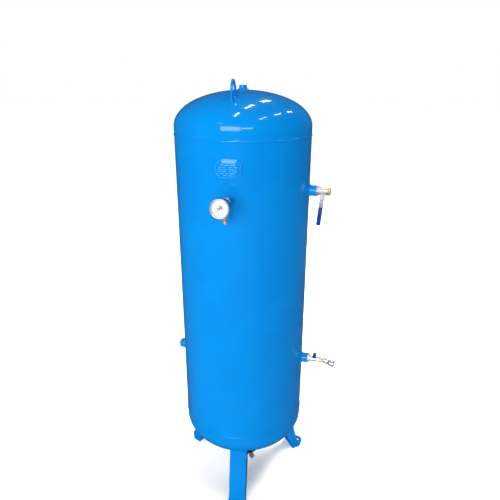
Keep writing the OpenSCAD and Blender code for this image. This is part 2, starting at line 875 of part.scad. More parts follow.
// Lever frame: z along the stem from the lever's underside, x along the lever
module lever_frame() {
    outlet_frame() translate([0, lever_y, v_mid(out_valve)]) rotate([-90, 0, 0])
        rotate([0, 0, 180 - lever_lean]) children();
}

bar_w = 12;
bar_from = 24;
module outlet_lever() {
    color(steel) lever_frame() difference() {
        union() {
            linear_extrude(lever_t) union() {
                circle(r = 10, $fn = round_fn);
                polygon([[0, -10], [14, -11], [bar_from, -8], [bar_from, 8], [14, 11], [0, 10]]);
            }
            rotate([90, 0, 0]) translate([0, 0, -8]) linear_extrude(16)
                polygon([[bar_from - 1, 0], [bar_from, 0], [bar_from + 10, lever_step],
                    [bar_from + 11, lever_step], [bar_from + 11, lever_step + lever_t],
                    [bar_from + 9, lever_step + lever_t], [bar_from - 1, lever_t]]);
            translate([bar_from + 10, -8, lever_step]) cube([lever_len - sleeve_len - bar_from - 8,
                16, lever_t]);
            translate([bar_from + 10, -bar_w / 2, lever_step])
                cube([lever_len - bar_from - 13, bar_w, lever_t]);
        }
        translate([0, 0, -1]) cylinder(r = v_stem(out_valve) + thread_gap, h = lever_t + 2,
            $fn = small_fn);
    }
}

module outlet_lever_nut() {
    color(steel) lever_frame() translate([0, 0, lever_t]) difference() {
        hex(13, nut_h);
        translate([0, 0, -1]) cylinder(r = v_stem(out_valve) + thread_gap, h = nut_h + 2,
            $fn = small_fn);
    }
}

sleeve_t = 6.5;
module outlet_sleeve() {
    from = lever_len - sleeve_len + 3;
    color(navy) lever_frame() translate([0, 0, lever_step + lever_t / 2 - sleeve_t / 2])
        difference() {
            linear_extrude(sleeve_t) union() {
                translate([from, -sleeve_w / 2]) square([lever_len - from - sleeve_w / 2, sleeve_w]);
                translate([lever_len - sleeve_w / 2, 0]) circle(d = sleeve_w, $fn = small_fn);
            }
            translate([from - 1, -bar_w / 2, sleeve_t / 2 - lever_t / 2])
                cube([lever_len - 3 - from + 1, bar_w, lever_t]);
        }
}

// ---- service outlet ----

module service_frame() {
    on_side(right_turn, service_z) translate([0, 0, big_face + reducer_head + 5]) children();
}

module service_valve() {
    color(nickel) {
        on_side(right_turn, service_z) translate([0, 0, big_face]) difference() {
            union() {
                male(big_bore, thread_len + 3);
                hex(big_od - 4, reducer_head - 2.5);
                cylinder(r = 12, h = reducer_head + 5, $fn = small_fn);
            }
            translate([0, 0, -thread_len - 4]) cylinder(d = 8, h = 60, $fn = small_fn);
            translate([0, 0, reducer_head + 5 - thread_len]) cylinder(d = port_d, h = thread_len + 1,
                $fn = small_fn);
        }
        service_frame() valve_body(mini_valve);
        service_frame() valve_end(mini_valve);
    }
}

module service_seats() { color(ptfe) service_frame() valve_seats(mini_valve); }
module service_ball() { color(nickel) service_frame() valve_ball(mini_valve); }
module service_handle() {
    color(navy) service_frame() {
        valve_stem(mini_valve, v_tower(mini_valve) + 3);
        wing_handle(mini_valve, v_tower(mini_valve) - 3);
    }
}

// Brass nipple that ends in the ball of the swivel
swivel_r = 7;
nipple_hex = 12;
swivel_at = nipple_hex + 8.5;
module nipple_frame() {
    service_frame() translate([0, 0, v_end(mini_valve)]) children();
}

module service_nipple() {
    color(brass) nipple_frame() difference() {
        union() {
            male(port_d, port_deep - 0.5);
            hex(17, nipple_hex);
            cylinder(r = 3.5, h = swivel_at, $fn = small_fn);
            translate([0, 0, swivel_at]) sphere(r = swivel_r, $fn = round_fn);
        }
        translate([0, 0, -thread_len]) cylinder(d = 4, h = 60, $fn = small_fn);
    }
}

// Coupling frame: z along the coupling from the middle of the swivel ball
module coupler_frame() {
    nipple_frame() translate([0, 0, swivel_at]) rotate([droop, 0, 0]) children();
}

collar_h = 12;
barrel_r = 9.5;
coupler_len = 46;
sleeve_from = 21;
sleeve_long = 18;
module coupler_body() {
    color(nickel) coupler_frame() difference() {
        union() {
            translate([0, 0, -3.5]) cylinder(r = 11, h = collar_h, $fn = round_fn);
            translate([0, 0, collar_h - 4]) hex(19, 7);
            translate([0, 0, collar_h]) cylinder(r = barrel_r, h = coupler_len - collar_h,
                $fn = round_fn);
        }
        sphere(r = swivel_r + seat_gap, $fn = round_fn);
        cylinder(d = 6, h = coupler_len, $fn = small_fn);
        translate([0, 0, -4.5]) cylinder(r1 = 7, r2 = 5.3, h = 2, $fn = small_fn);
        translate([0, 0, -4.5]) cylinder(r = 5.3, h = 3, $fn = small_fn);
        translate([0, 0, 24]) cylinder(d = coupler_bore, h = coupler_len, $fn = round_fn);
    }
}

module coupler_sleeve() {
    color(nickel) coupler_frame() translate([0, 0, sleeve_from + coupler_travel]) difference() {
        union() {
            cylinder(d = coupler_od, h = sleeve_long - 2, $fn = round_fn);
            translate([0, 0, sleeve_long - 2 - eps]) cylinder(d1 = coupler_od,
                d2 = coupler_od - 3, h = 2, $fn = round_fn);
        }
        translate([0, 0, -1]) cylinder(r = barrel_r + run_gap, h = sleeve_long + 2, $fn = round_fn);
        translate([0, 0, -1]) cylinder(r = barrel_r + 2.2, h = 10, $fn = round_fn);
    }
}

module coupler_spring() {
    from = collar_h + 3.3;
    color(steel) coupler_frame() translate([0, 0, from])
        coil(barrel_r + 1.2, 1.4, sleeve_from + coupler_travel + 8.7 - from, 5);
}

// ---- drain ----

elbow_r = 9;
drain_axis = ground_gap - drain_drop;
elbow_arm = 26;
collar_len = 16;
module drain_elbow() {
    color(nickel) difference() {
        union() {
            translate([0, 0, drain_face]) mirror([0, 0, 1]) male(small_bore);
            translate([0, 0, drain_face - 8]) hex(24, 8);
            translate([0, 0, drain_axis]) cylinder(r = elbow_r, h = drain_face - drain_axis - 7,
                $fn = small_fn);
            translate([0, 0, drain_axis]) sphere(r = elbow_r + 1, $fn = small_fn);
            on_side(drain_turn, drain_axis) cylinder(r = elbow_r - 0.5, h = elbow_arm, $fn = small_fn);
            on_side(drain_turn, drain_axis) translate([0, 0, elbow_arm - 9]) cylinder(r = 11,
                h = 9, $fn = small_fn);
        }
        translate([0, 0, drain_axis - 3]) cylinder(d = 9, h = 200, $fn = small_fn);
        on_side(drain_turn, drain_axis) translate([0, 0, -2]) cylinder(d = 8, h = 200,
            $fn = small_fn);
        on_side(drain_turn, drain_axis) translate([0, 0, elbow_arm - thread_len])
            cylinder(d = port_d, h = 20, $fn = small_fn);
    }
}

// Pipe nipple from the elbow to the drain valve's collar
module drain_nipple() {
    color(nickel) on_side(drain_turn, drain_axis) difference() {
        union() {
            translate([0, 0, elbow_arm - thread_len]) cylinder(d = port_d - 2 * thread_gap,
                h = nipple_len + thread_len, $fn = small_fn);
            translate([0, 0, elbow_arm + nipple_len - collar_len])
                cylinder(r = 9, h = collar_len, $fn = small_fn);
        }
        translate([0, 0, elbow_arm - thread_len - 1])
            cylinder(d = 7, h = nipple_len + thread_len + 2, $fn = small_fn);
        translate([0, 0, elbow_arm + nipple_len - thread_len]) cylinder(d = port_d,
            h = thread_len + 1, $fn = small_fn);
    }
}

module drain_frame() {
    on_side(drain_turn, drain_axis) translate([0, 0, elbow_arm + nipple_len]) children();
}

module drain_valve() {
    color(nickel) drain_frame() {
        valve_body(mini_valve);
        valve_end(mini_valve);
    }
}

module drain_seats() { color(ptfe) drain_frame() valve_seats(mini_valve); }
module drain_ball() { color(nickel) drain_frame() valve_ball(mini_valve); }
module drain_handle() {
    color([0.06, 0.06, 0.07]) drain_frame() {
        valve_stem(mini_valve, v_tower(mini_valve) + 3);
        wing_handle(mini_valve, v_tower(mini_valve) - 3);
    }
}

shell();
top_head();
bottom_head();
seam_welds();
socket_welds();
leg_front();
leg_right();
leg_left();
foot_front();
foot_right();
foot_left();
lifting_lug();
top_socket();
gauge_socket();
outlet_socket();
service_socket();
spare_socket();
drain_socket();
spare_plug();
nameplate();
nameplate_rivets();
gauge_tee();
relief_body();
relief_bonnet();
relief_stem();
relief_spring();
relief_knob();
gauge_stem();
gauge_case();
gauge_bezel();
gauge_glass();
gauge_dial();
bourdon_tube();
gauge_frame();
gauge_sector();
gauge_pointer();
outlet_reducer();
outlet_body();
outlet_end();
outlet_seats();
outlet_ball();
outlet_stem();
outlet_gland();
outlet_lever();
outlet_lever_nut();
outlet_sleeve();
service_valve();
service_seats();
service_ball();
service_handle();
service_nipple();
coupler_body();
coupler_sleeve();
coupler_spring();
drain_elbow();
drain_nipple();
drain_valve();
drain_seats();
drain_ball();
drain_handle();
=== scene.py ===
"""Looks of a vertical compressed-air receiver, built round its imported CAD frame.

Lengths are metres. The tank stands on z = 0 with its axis on z, and the gauge faces -Y.
"""

from __future__ import annotations

import json
import logging
import math
from contextlib import contextmanager
from dataclasses import dataclass
from enum import Enum
from typing import Callable, Iterable, Iterator, Sequence

import bmesh
import bpy
from mathutils import Matrix, Quaternion, Vector

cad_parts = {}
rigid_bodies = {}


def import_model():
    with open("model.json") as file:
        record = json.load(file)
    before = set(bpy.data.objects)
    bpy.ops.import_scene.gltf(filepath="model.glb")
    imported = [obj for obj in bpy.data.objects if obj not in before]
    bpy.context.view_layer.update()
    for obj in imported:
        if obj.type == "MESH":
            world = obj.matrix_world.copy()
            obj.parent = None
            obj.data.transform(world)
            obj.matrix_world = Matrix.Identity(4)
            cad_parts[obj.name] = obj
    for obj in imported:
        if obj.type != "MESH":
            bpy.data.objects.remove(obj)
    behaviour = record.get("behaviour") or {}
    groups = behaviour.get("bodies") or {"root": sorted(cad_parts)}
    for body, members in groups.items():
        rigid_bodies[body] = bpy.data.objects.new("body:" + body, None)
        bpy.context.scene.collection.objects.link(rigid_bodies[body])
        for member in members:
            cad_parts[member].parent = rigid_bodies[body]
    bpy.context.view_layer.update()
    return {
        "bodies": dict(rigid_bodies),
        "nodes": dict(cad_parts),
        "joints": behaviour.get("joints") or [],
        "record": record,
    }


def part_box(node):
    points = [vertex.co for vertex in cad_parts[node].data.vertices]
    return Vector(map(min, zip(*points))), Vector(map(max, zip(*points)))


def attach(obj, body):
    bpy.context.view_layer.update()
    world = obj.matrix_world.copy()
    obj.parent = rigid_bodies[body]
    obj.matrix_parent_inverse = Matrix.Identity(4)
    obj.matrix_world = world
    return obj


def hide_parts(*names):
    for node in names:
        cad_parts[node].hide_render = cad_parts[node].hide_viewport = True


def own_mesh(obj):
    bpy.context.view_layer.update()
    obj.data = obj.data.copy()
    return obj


LOG = logging.getLogger("air_receiver")
MM = 0.001
Triple = tuple[float, float, float]
Colour = Triple
Profile = Sequence[tuple[float, float]]
EVEN: Triple = (1.0, 1.0, 1.0)


class Slot(Enum):
    """Material slots of the record."""

    PAINT = "blue_paint"
    NICKEL = "nickel_plate"
    BRASS = "brass"
    CHROME = "bright_chrome"
    ZINC = "zinc_steel"
    SEAT = "seat_plastic"
    BLACK = "black_case"
    GLASS = "gauge_glass"
    DIAL = "dial_white"
    VINYL = "navy_vinyl"


# ---- shader expressions ----


class Signal:
    """A shader output that arithmetic can be written on."""

    def __init__(self, net: "Net", socket: bpy.types.NodeSocket) -> None:
        """Keep the net that owns the socket."""
        self.net = net
        self.socket = socket

    def _maths(self, operation: str, first: object, second: object) -> "Signal":
        """Add a Math node on two signals or numbers."""
        return self.net.add("ShaderNodeMath", {"operation": operation}, {0: first, 1: second})

    def __add__(self, other: object) -> "Signal":
        """Sum."""
        return self._maths("ADD", self, other)

    def __mul__(self, other: object) -> "Signal":
        """Product."""
        return self._maths("MULTIPLY", self, other)

    def __sub__(self, other: object) -> "Signal":
        """Difference."""
        return self._maths("SUBTRACT", self, other)

    def __rsub__(self, other: object) -> "Signal":
        """Difference from a number."""
        return self._maths("SUBTRACT", other, self)

    __radd__ = __add__
    __rmul__ = __mul__

    def above(self, level: float, soft: float) -> "Signal":
        """Step from 0 to 1 around a level.

        Args:
            level: Value at which the step is half done.
            soft: Half the width of the step.

        Returns:
            A mask from 0 to 1.
        """
        return self.net.add(
            "ShaderNodeMapRange",
            {"interpolation_type": "SMOOTHSTEP"},
            {"Value": self, "From Min": level - soft, "From Max": level + soft},
        )


class Net:
    """The node tree of a material or of the world."""

    def __init__(self, owner: bpy.types.ID) -> None:
        """Turn on the nodes of a material or world."""
        owner.use_nodes = True
        self.owner = owner
        self.tree = owner.node_tree

    def add(self, kind: str, settings: dict, inputs: dict, output: object = 0) -> Signal:
        """Add any node.

        Args:
            kind: Type of the node.
            settings: Properties that are set first.
            inputs: Values or signals by socket name or number.
            output: Name or number of the output to return.

        Returns:
            The chosen output as a signal.
        """
        node = self.tree.nodes.new(kind)
        for key, value in settings.items():
            setattr(node, key, value)
        for key, value in inputs.items():
            self._feed(node.inputs[key], value)
        return Signal(self, node.outputs[output])

    def _feed(self, socket: bpy.types.NodeSocket, value: object) -> None:
        """Link a signal to a socket or set its value."""
        if isinstance(value, Signal):
            self.tree.links.new(value.socket, socket)
        elif isinstance(value, tuple) and socket.type == "RGBA":
            socket.default_value = (*value, 1.0)
        else:
            socket.default_value = value

    def noise(self, per_metre: float, detail: float = 2.0, scale: Triple = EVEN) -> Signal:
        """Soft noise between 0 and 1 on object coordinates.

        Args:
            per_metre: Blotches along a metre.
            detail: Octaves of finer noise.
            scale: Stretch on each axis.

        Returns:
            The noise value.
        """
        coords = self.add("ShaderNodeTexCoord", {}, {}, "Object")
        place = self.add("ShaderNodeMapping", {}, {"Vector": coords, "Scale": scale})
        inputs = {"Vector": place, "Scale": per_metre, "Detail": detail}
        return self.add("ShaderNodeTexNoise", {}, inputs)

    def blend(self, share: object, low: object, high: object) -> Signal:
        """Mix two colours.

        Args:
            share: Share of the second colour.
            low: First colour.
            high: Second colour.

        Returns:
            The mixed colour.
        """
        node = self.tree.nodes.new("ShaderNodeMix")
        node.data_type = "RGBA"
        self._feed(node.inputs["Factor"], share)
        first, second = (s for s in node.inputs if s.type == "RGBA")
        self._feed(first, low)
        self._feed(second, high)
        return Signal(self, next(s for s in node.outputs if s.type == "RGBA"))

    def by_ray(self, lit: object, mirrored: object, seen: object) -> Signal:
        """Colour of the stage, which may look unlike what it lights and mirrors.

        Args:
            lit: Colour that lights matt surfaces.
            mirrored: Colour in reflections.
            seen: Colour that is seen directly.

        Returns:
            The colour.
        """
        colour = lit
        for ray, own in (("Is Glossy Ray", mirrored), ("Is Camera Ray", seen)):
            colour = self.blend(self.add("ShaderNodeLightPath", {}, {}, ray), colour, own)
        return colour

    def bump(self, height: Signal, depth: float, strength: float = 1.0,
             under: Signal | None = None) -> Signal:
        """Relief from a height.

        Args:
            height: Height from 0 to 1.
            depth: Real height of 1, in metres.
            strength: Share of the effect.
            under: Relief that this one lies on.

        Returns:
            The bent normal.
        """
        inputs = {"Height": height, "Distance": depth, "Strength": strength}
        if under is not None:
            inputs["Normal"] = under
        return self.add("ShaderNodeBump", {}, inputs)

    def finish(self, shader: str = "Principled BSDF", **sockets: object) -> bpy.types.ID:
        """Feed the shader.

        Args:
            shader: Name of the shader node.
            **sockets: Values or signals, with underscores for spaces in the socket's name.

        Returns:
            The finished material or world.
        """
        for key, value in sockets.items():
            self._feed(self.tree.nodes[shader].inputs[key.replace("_", " ")], value)
        return self.owner


# ---- finishes ----


@dataclass(frozen=True)
class Recipe:
    """What every finish has: the name of its material and two colours that it varies between."""

    name: str
    colour: Colour
    worn: Colour

    def net(self) -> Net:
        """Start the material."""
        return Net(bpy.data.materials.new(self.name))


@dataclass(frozen=True)
class Enamel(Recipe):
    """Sprayed gloss enamel over rolled steel; worn is its colour where the coat is thin."""

    dust: Colour
    chip: Colour = (0.42, 0.55, 0.62)
    dust_share: float = 0.20
    chip_share: float = 0.8
    peel: float = 0.006 * MM
    sag: float = 1.0 * MM
    rough: float = 0.18
    coat: float = 0.65
    coat_rough: float = 0.03

    def build(self) -> bpy.types.Material:
        """Make the material: uneven coat, orange peel, faint dust and small chips."""
        net = self.net()
        thin = net.noise(per_metre=7.0, detail=3.0).above(level=0.5, soft=0.22)
        colour = net.blend(thin, self.colour, self.worn)
        dusty = net.noise(per_metre=9.0, detail=3.0).above(level=0.60, soft=0.25)
        dusty = dusty * self.dust_share
        colour = net.blend(dusty, colour, self.dust)
        chipped = net.noise(per_metre=170.0, detail=1.0).above(level=0.835, soft=0.006)
        patch = net.noise(per_metre=4.0, detail=1.0).above(level=0.52, soft=0.03)
        colour = net.blend(chipped * patch * self.chip_share, colour, self.chip)
        waves = net.bump(net.noise(per_metre=5.0, detail=1.0), self.sag, strength=0.5)
        peel = net.bump(net.noise(per_metre=420.0), self.peel, strength=0.55, under=waves)
        rough = net.noise(per_metre=30.0, detail=4.0) * 0.10 + self.rough + dusty * 0.2
        return net.finish(
            Base_Color=colour, Roughness=rough, Normal=peel, IOR=1.5,
            Coat_Weight=self.coat, Coat_Roughness=self.coat_rough, Specular_IOR_Level=0.03,
        )


@dataclass(frozen=True)
class Metal(Recipe):
    """A plated or bare metal surface."""

    rough: float = 0.25
    spread: float = 0.15
    grain: Triple = EVEN
    depth: float = 0.02 * MM
    tarnish: float = 0.35
    bare: float = 0.85

    def build(self) -> bpy.types.Material:
        """Make the material: tarnish in blotches, fine grain and uneven gloss."""
        net = self.net()
        blotch = net.noise(per_metre=90.0, detail=5.0).above(level=0.56, soft=0.16)
        fine = net.noise(per_metre=900.0, detail=3.0, scale=self.grain)
        colour = net.blend(blotch * self.tarnish, self.colour, self.worn)
        rough = fine * self.spread + (blotch * 0.12 + (self.rough - self.spread / 2))
        relief = net.bump(fine, self.depth, strength=0.4)
        return net.finish(Base_Color=colour, Metallic=self.bare, Roughness=rough, Normal=relief)


@dataclass(frozen=True)
class Moulding(Recipe):
    """Moulded, dipped or printed plastic and enamel."""

    rough: float = 0.5
    coat: float = 0.0
    depth: float = 0.03 * MM
    per_metre: float = 500.0
    shine: float = 0.5
    spread: float = 0.12

    def build(self) -> bpy.types.Material:
        """Make the material: slight fading, surface texture and uneven gloss."""
        net = self.net()
        faded = net.noise(per_metre=60.0, detail=4.0).above(level=0.55, soft=0.25) * 0.6
        fine = net.noise(self.per_metre, detail=3.0)
        return net.finish(
            Base_Color=net.blend(faded, self.colour, self.worn),
            Roughness=fine * self.spread + (self.rough - self.spread / 2),
            Normal=net.bump(fine, self.depth, strength=0.5),
            Coat_Weight=self.coat, Coat_Roughness=0.08, Specular_IOR_Level=self.shine,
        )


@dataclass(frozen=True)
class Lens(Recipe):
    """Clear window of the gauge."""

    clear: float = 0.06

    def build(self) -> bpy.types.Material:
        """Make the material: nearly clear, with a gloss and faint smears."""
        net = self.net()
        smear = net.noise(per_metre=120.0, detail=4.0)
        return net.finish(
            Base_Color=self.colour, Alpha=smear * self.clear + self.clear,
            Roughness=smear * 0.05 + 0.02, Specular_IOR_Level=0.6,
        )


RECIPES: tuple[Enamel | Metal | Moulding | Lens, ...] = (
    Enamel("tank_enamel", (0.0004, 0.258, 0.74), (0.0006, 0.233, 0.69), (0.004, 0.290, 0.73)),
    # Nameplate bars: the tank's blue painted lighter, a painted highlight where the raised
    # letters catch the light.
    Enamel("rubbed_enamel", (0.09, 0.44, 0.86), (0.03, 0.34, 0.80), (0.16, 0.50, 0.86)),
    Metal("nickel_plating", (0.93, 0.91, 0.88), (0.66, 0.61, 0.53), 0.40),
    Metal("turned_brass", (0.80, 0.61, 0.31), (0.55, 0.40, 0.20), 0.42),
    Metal("polished_chrome", (0.90, 0.92, 0.95), (0.72, 0.74, 0.79), 0.24, 0.10),
    Metal("satin_steel", (0.93, 0.92, 0.91), (0.80, 0.79, 0.77), 0.42, 0.12),
    Metal("zinc_plating", (0.72, 0.74, 0.81), (0.54, 0.56, 0.62), 0.34, 0.2, (1.0, 1.0, 0.15)),
    Moulding("fluoropolymer", (0.90, 0.90, 0.87), (0.82, 0.81, 0.76), 0.45),
    Moulding("black_enamel", (0.012, 0.016, 0.035), (0.03, 0.035, 0.06), 0.22, coat=0.4),
    Moulding("dial_enamel", (0.88, 0.89, 0.90), (0.80, 0.82, 0.86), 0.45, depth=0.01 * MM),
    Moulding("dipped_vinyl", (0.0, 0.036, 0.26), (0.0002, 0.048, 0.32), 0.38,
             depth=0.06 * MM, per_metre=260.0, shine=0.22),
    Moulding("dial_ink", (0.05, 0.05, 0.06), (0.10, 0.10, 0.12)),
    Moulding("grey_ink", (0.42, 0.44, 0.50), (0.50, 0.52, 0.58)),
    Moulding("red_ink", (0.60, 0.03, 0.04), (0.68, 0.10, 0.10)),
    Moulding("pink_ink", (0.80, 0.55, 0.62), (0.84, 0.64, 0.70)),
    Moulding("yellow_ink", (0.90, 0.55, 0.05), (0.92, 0.62, 0.15)),
    Moulding("green_ink", (0.10, 0.30, 0.20), (0.16, 0.38, 0.28)),
    Lens("lens_clear", (0.95, 0.98, 1.0), (0.95, 0.98, 1.0)),
)

SLOT_FINISH: dict[Slot, str] = {
    Slot.PAINT: "tank_enamel", Slot.NICKEL: "nickel_plating", Slot.BRASS: "turned_brass",
    Slot.CHROME: "polished_chrome", Slot.ZINC: "zinc_plating", Slot.SEAT: "fluoropolymer",
    Slot.BLACK: "black_enamel", Slot.GLASS: "lens_clear", Slot.DIAL: "dial_enamel",
    Slot.VINYL: "dipped_vinyl",
}


# ---- bench: modelling steps that every class uses ----


def deselect() -> None:
    """Leave object mode with nothing selected."""
    if bpy.context.mode != "OBJECT":
        bpy.ops.object.mode_set(mode="OBJECT")
    bpy.ops.object.select_all(action="DESELECT")


def take(piece: bpy.types.Object) -> None:
    """Select one piece and make it active."""
    deselect()
    piece.select_set(True)
    bpy.context.view_layer.objects.active = piece


def named(name: str) -> bpy.types.Object:
    """Name the piece that was just made."""
    piece = bpy.context.object
    piece.name = piece.data.name = name
    return piece


@contextmanager
def editing(piece: bpy.types.Object, pick: str = "VERT",
            start: str = "SELECT") -> Iterator[bmesh.types.BMesh]:
    """Edit a piece's mesh.

    Args:
        piece: The piece.
        pick: Kind of element that is selected.
        start: Selection that the edit starts with.

    Yields:
        The mesh, for choosing elements before the first operator.
    """
    take(piece)
    bpy.ops.object.mode_set(mode="EDIT")
    bpy.ops.mesh.select_mode(type=pick)
    bpy.ops.mesh.select_all(action=start)
    yield bmesh.from_edit_mesh(piece.data)
    bpy.ops.object.mode_set(mode="OBJECT")


def side_place(turn: float, height: float, radius: float = 0.0) -> Matrix:
    """Frame of a side fitting: z outwards, y up, x to the right seen from outside.

    Args:
        turn: Turn about the tank axis in degrees, from -Y towards +X.
        height: Height above the floor.
        radius: Distance from the tank axis.

    Returns:
        The frame as a matrix.
    """
    a = math.radians(turn)
    right = Vector((math.cos(a), math.sin(a), 0.0))
    up = Vector((0.0, 0.0, 1.0))
    out = Vector((math.sin(a), -math.cos(a), 0.0))
    axes = Matrix((right, up, out)).transposed().to_4x4()
    return Matrix.Translation(out * radius + up * height) @ axes


def extent(node: str, place: Matrix) -> tuple[Vector, Vector]:
    """Lowest and highest corners of a CAD node in a frame.

    Args:
        node: The CAD node.
        place: The frame.

    Returns:
        The two corners.
    """
    back = place.inverted()
    points = [back @ v.co for v in bpy.data.objects[node].data.vertices]
    low = Vector([min(p[i] for p in points) for i in range(3)])
    high = Vector([max(p[i] for p in points) for i in range(3)])
    return low, high


def round_edges(piece: bpy.types.Object, width: float, steps: int = 2) -> None:
    """Round every sharp edge of a piece.

    Args:
        piece: The piece to shape.
        width: Width of the rounding.
        steps: Faces across the rounding.
    """
    use_modifier(
        piece, "BEVEL", width=width, segments=steps, limit_method="ANGLE",
        angle_limit=math.radians(32.0), use_clamp_overlap=True, harden_normals=False,
    )


def use_modifier(piece: bpy.types.Object, kind: str, **settings: object) -> None:
    """Add a modifier and apply it.

    Args:
        piece: The piece to shape.
        kind: Modifier type.
        **settings: Properties of the modifier.
    """
    take(piece)
    modifier = piece.modifiers.new(kind.lower(), kind)
    for key, value in settings.items():
        setattr(modifier, key, value)
    bpy.ops.object.modifier_apply(modifier=modifier.name)


def turned(name: str, profile: Profile, sides: int) -> bpy.types.Object:
    """Turn a ring on z by extruding a circle round its closed profile.

    Args:
        name: Name of the piece.
        profile: Pairs of height and radius.
        sides: Corners of each circle.

    Returns:
        The piece, standing at the origin.
    """
    deselect()
    z, radius = profile[0]
    bpy.ops.mesh.primitive_circle_add(vertices=sides, radius=radius, location=(0.0, 0.0, z))
    piece = named(name)
    bpy.ops.object.transform_apply(location=True)
    with editing(piece):
        for next_z, next_radius in (*profile[1:], profile[0]):
            bpy.ops.mesh.extrude_edges_move(
                TRANSFORM_OT_translate={"value": (0.0, 0.0, next_z - z)})
            k = next_radius / radius
            bpy.ops.transform.resize(value=(k, k, 1.0), center_override=(0.0, 0.0, next_z))
            z, radius = next_z, next_radius
        bpy.ops.mesh.select_all(action="SELECT")
        bpy.ops.mesh.remove_doubles(threshold=1e-7)
    return piece


def bench_copy(node: str, name: str, flat: float = 0.6) -> bpy.types.Object:
    """Merged copy of a CAD node's mesh, ready to be shaped.

    Args:
        node: The CAD node.
        name: Name of the copy.
        flat: Faces that meet flatter than this angle are joined.

    Returns:
        The copy, at the node's place.
    """
    copy = bpy.data.objects.new(name, bpy.data.objects[node].data.copy())
    bpy.context.scene.collection.objects.link(copy)
    take(copy)
    bpy.ops.mesh.customdata_custom_splitnormals_clear()
    with editing(copy):
        bpy.ops.mesh.remove_doubles(threshold=2e-6)
        bpy.ops.mesh.dissolve_limited(angle_limit=math.radians(flat))
    return copy


def joined(pieces: Sequence[bpy.types.Object], name: str) -> bpy.types.Object:
    """Join pieces into one.

    Args:
        pieces: The pieces, two or more.
        name: Name of the whole.

    Returns:
        The joined piece.
    """
    take(pieces[0])
    for piece in pieces:
        piece.select_set(True)
    bpy.ops.object.join()
    return named(name)


def copies_round(piece: bpy.types.Object, count: int, step: float,
                 start: float = 0.0) -> bpy.types.Object:
    """Copy a piece round z and join the copies.

    Args:
        piece: The piece, modelled round the origin.
        count: How many there are in all.
        step: Angle from one to the next in degrees, clockwise seen from above.
        start: Angle of the first.

    Returns:
        The joined piece.
    """
    copies = [piece]
    for index in range(1, count):
        mesh = piece.data.copy()
        mesh.transform(Matrix.Rotation(-math.radians(start + step * index), 4, "Z"))
        copies.append(bpy.data.objects.new(f"{piece.name}_{index}", mesh))
        bpy.context.scene.collection.objects.link(copies[-1])
    piece.data.transform(Matrix.Rotation(-math.radians(start), 4, "Z"))
    return joined(copies, piece.name)


def block(name: str, at: Triple, size: Triple, width: float) -> bpy.types.Object:
    """Small block with rounded edges.

    Args:
        name: Name of the piece.
        at: Its middle.
        size: Its sides.
        width: Width of the rounding.

    Returns:
        The block.
    """
    deselect()
    bpy.ops.mesh.primitive_cube_add(size=1.0, location=at)
    piece = named(name)
    piece.scale = size
    bpy.ops.object.transform_apply(location=True, rotation=True, scale=True)
    round_edges(piece, width)
    return piece


@dataclass
class Workshop:
    """Finishes pieces and hands them to the frame."""

    finishes: dict[str, bpy.types.Material]

    def hand_in(self, piece: bpy.types.Object, body: str, slot: Slot,
                replaces: Iterable[str] = (), place: Matrix | None = None,
                smooth: float = 35.0, finish: str = "") -> None:
        """Settle a piece at its place, shade and dress it, and tie it to its body.

        Args:
            piece: The finished piece.
            body: CAD body that it moves with.
            slot: Record slot of its finish.
            replaces: CAD nodes that it stands for.
            place: Frame that the piece is moved to.
            smooth: Edges flatter than this angle are shaded smooth.
            finish: Name of its finish, if it isn't the slot's own.
        """
        take(piece)
        bpy.ops.object.transform_apply(location=True, rotation=True, scale=True)
        if place is not None:
            piece.data.transform(place)
        with editing(piece):
            bpy.ops.mesh.normals_make_consistent(inside=False)
        bpy.ops.object.shade_smooth_by_angle(angle=math.radians(smooth))
        deselect()
        piece.data.materials.clear()
        piece.data.materials.append(self.finishes[finish or SLOT_FINISH[slot]])
        for node in replaces:
            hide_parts(node)
        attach(piece, body)
        LOG.info("%s on %s, %d faces", piece.name, body, len(piece.data.polygons))

    def soften(self, node: str, body: str, slot: Slot, width: float, steps: int = 2,
               first: Callable[[bpy.types.Object], None] | None = None) -> None:
        """Copy a CAD node, round its edges and let the copy stand for it.

        Args:
            node: The CAD node.
            body: CAD body that it moves with.
            slot: Record slot of its finish.
            width: Width of the rounding.
            steps: Faces across the rounding.
            first: Shaping that comes before the rounding.
        """
        piece = bench_copy(node, node + "_soft")
        if first is not None:
            first(piece)
        round_edges(piece, width, steps)
        self.hand_in(piece, body, slot, [node])


# ---- studio ----


@dataclass(frozen=True)
class Lamp:
    """One rectangular lamp."""

    name: str
    at: Triple
    to: Triple
    size: tuple[float, float]
    power: float
    turn: float = 0.0
    mirrored: bool = True

    def hang(self) -> None:
        """Add the lamp to the scene."""
        data = bpy.data.lights.new(self.name, "AREA")
        data.shape = "RECTANGLE"
        data.size, data.size_y = self.size
        data.energy = self.power
        lamp = bpy.data.objects.new(self.name, data)
        lamp.location = self.at
        lamp.rotation_mode = "QUATERNION"
        facing = (Vector(self.to) - Vector(self.at)).to_track_quat("-Z", "Y")
        lamp.rotation_quaternion = facing @ Quaternion((0.0, 0.0, 1.0), math.radians(self.turn))
        lamp.visible_glossy = self.mirrored
        bpy.context.scene.collection.objects.link(lamp)


MIDDLE: Triple = (0.0, 0.0, 1.0)

LAMPS: tuple[Lamp, ...] = (
    Lamp("key", (-0.9, -6.0, 2.95), MIDDLE, (3.4, 2.6), 205.0),
    Lamp("key_side", (1.9, -6.0, 3.35), MIDDLE, (1.8, 0.9), 51.25),
    Lamp("front_fill", (0.0, -6.0, 0.7), MIDDLE, (3.0, 1.6), 78.0, mirrored=False),
    Lamp("side_fill", (-4.2, -2.6, 1.9), MIDDLE, (1.6, 2.8), 66.0, mirrored=False),
    Lamp("back_fill", (2.6, 4.2, 2.5), MIDDLE, (2.6, 2.6), 150.0, mirrored=False),
)


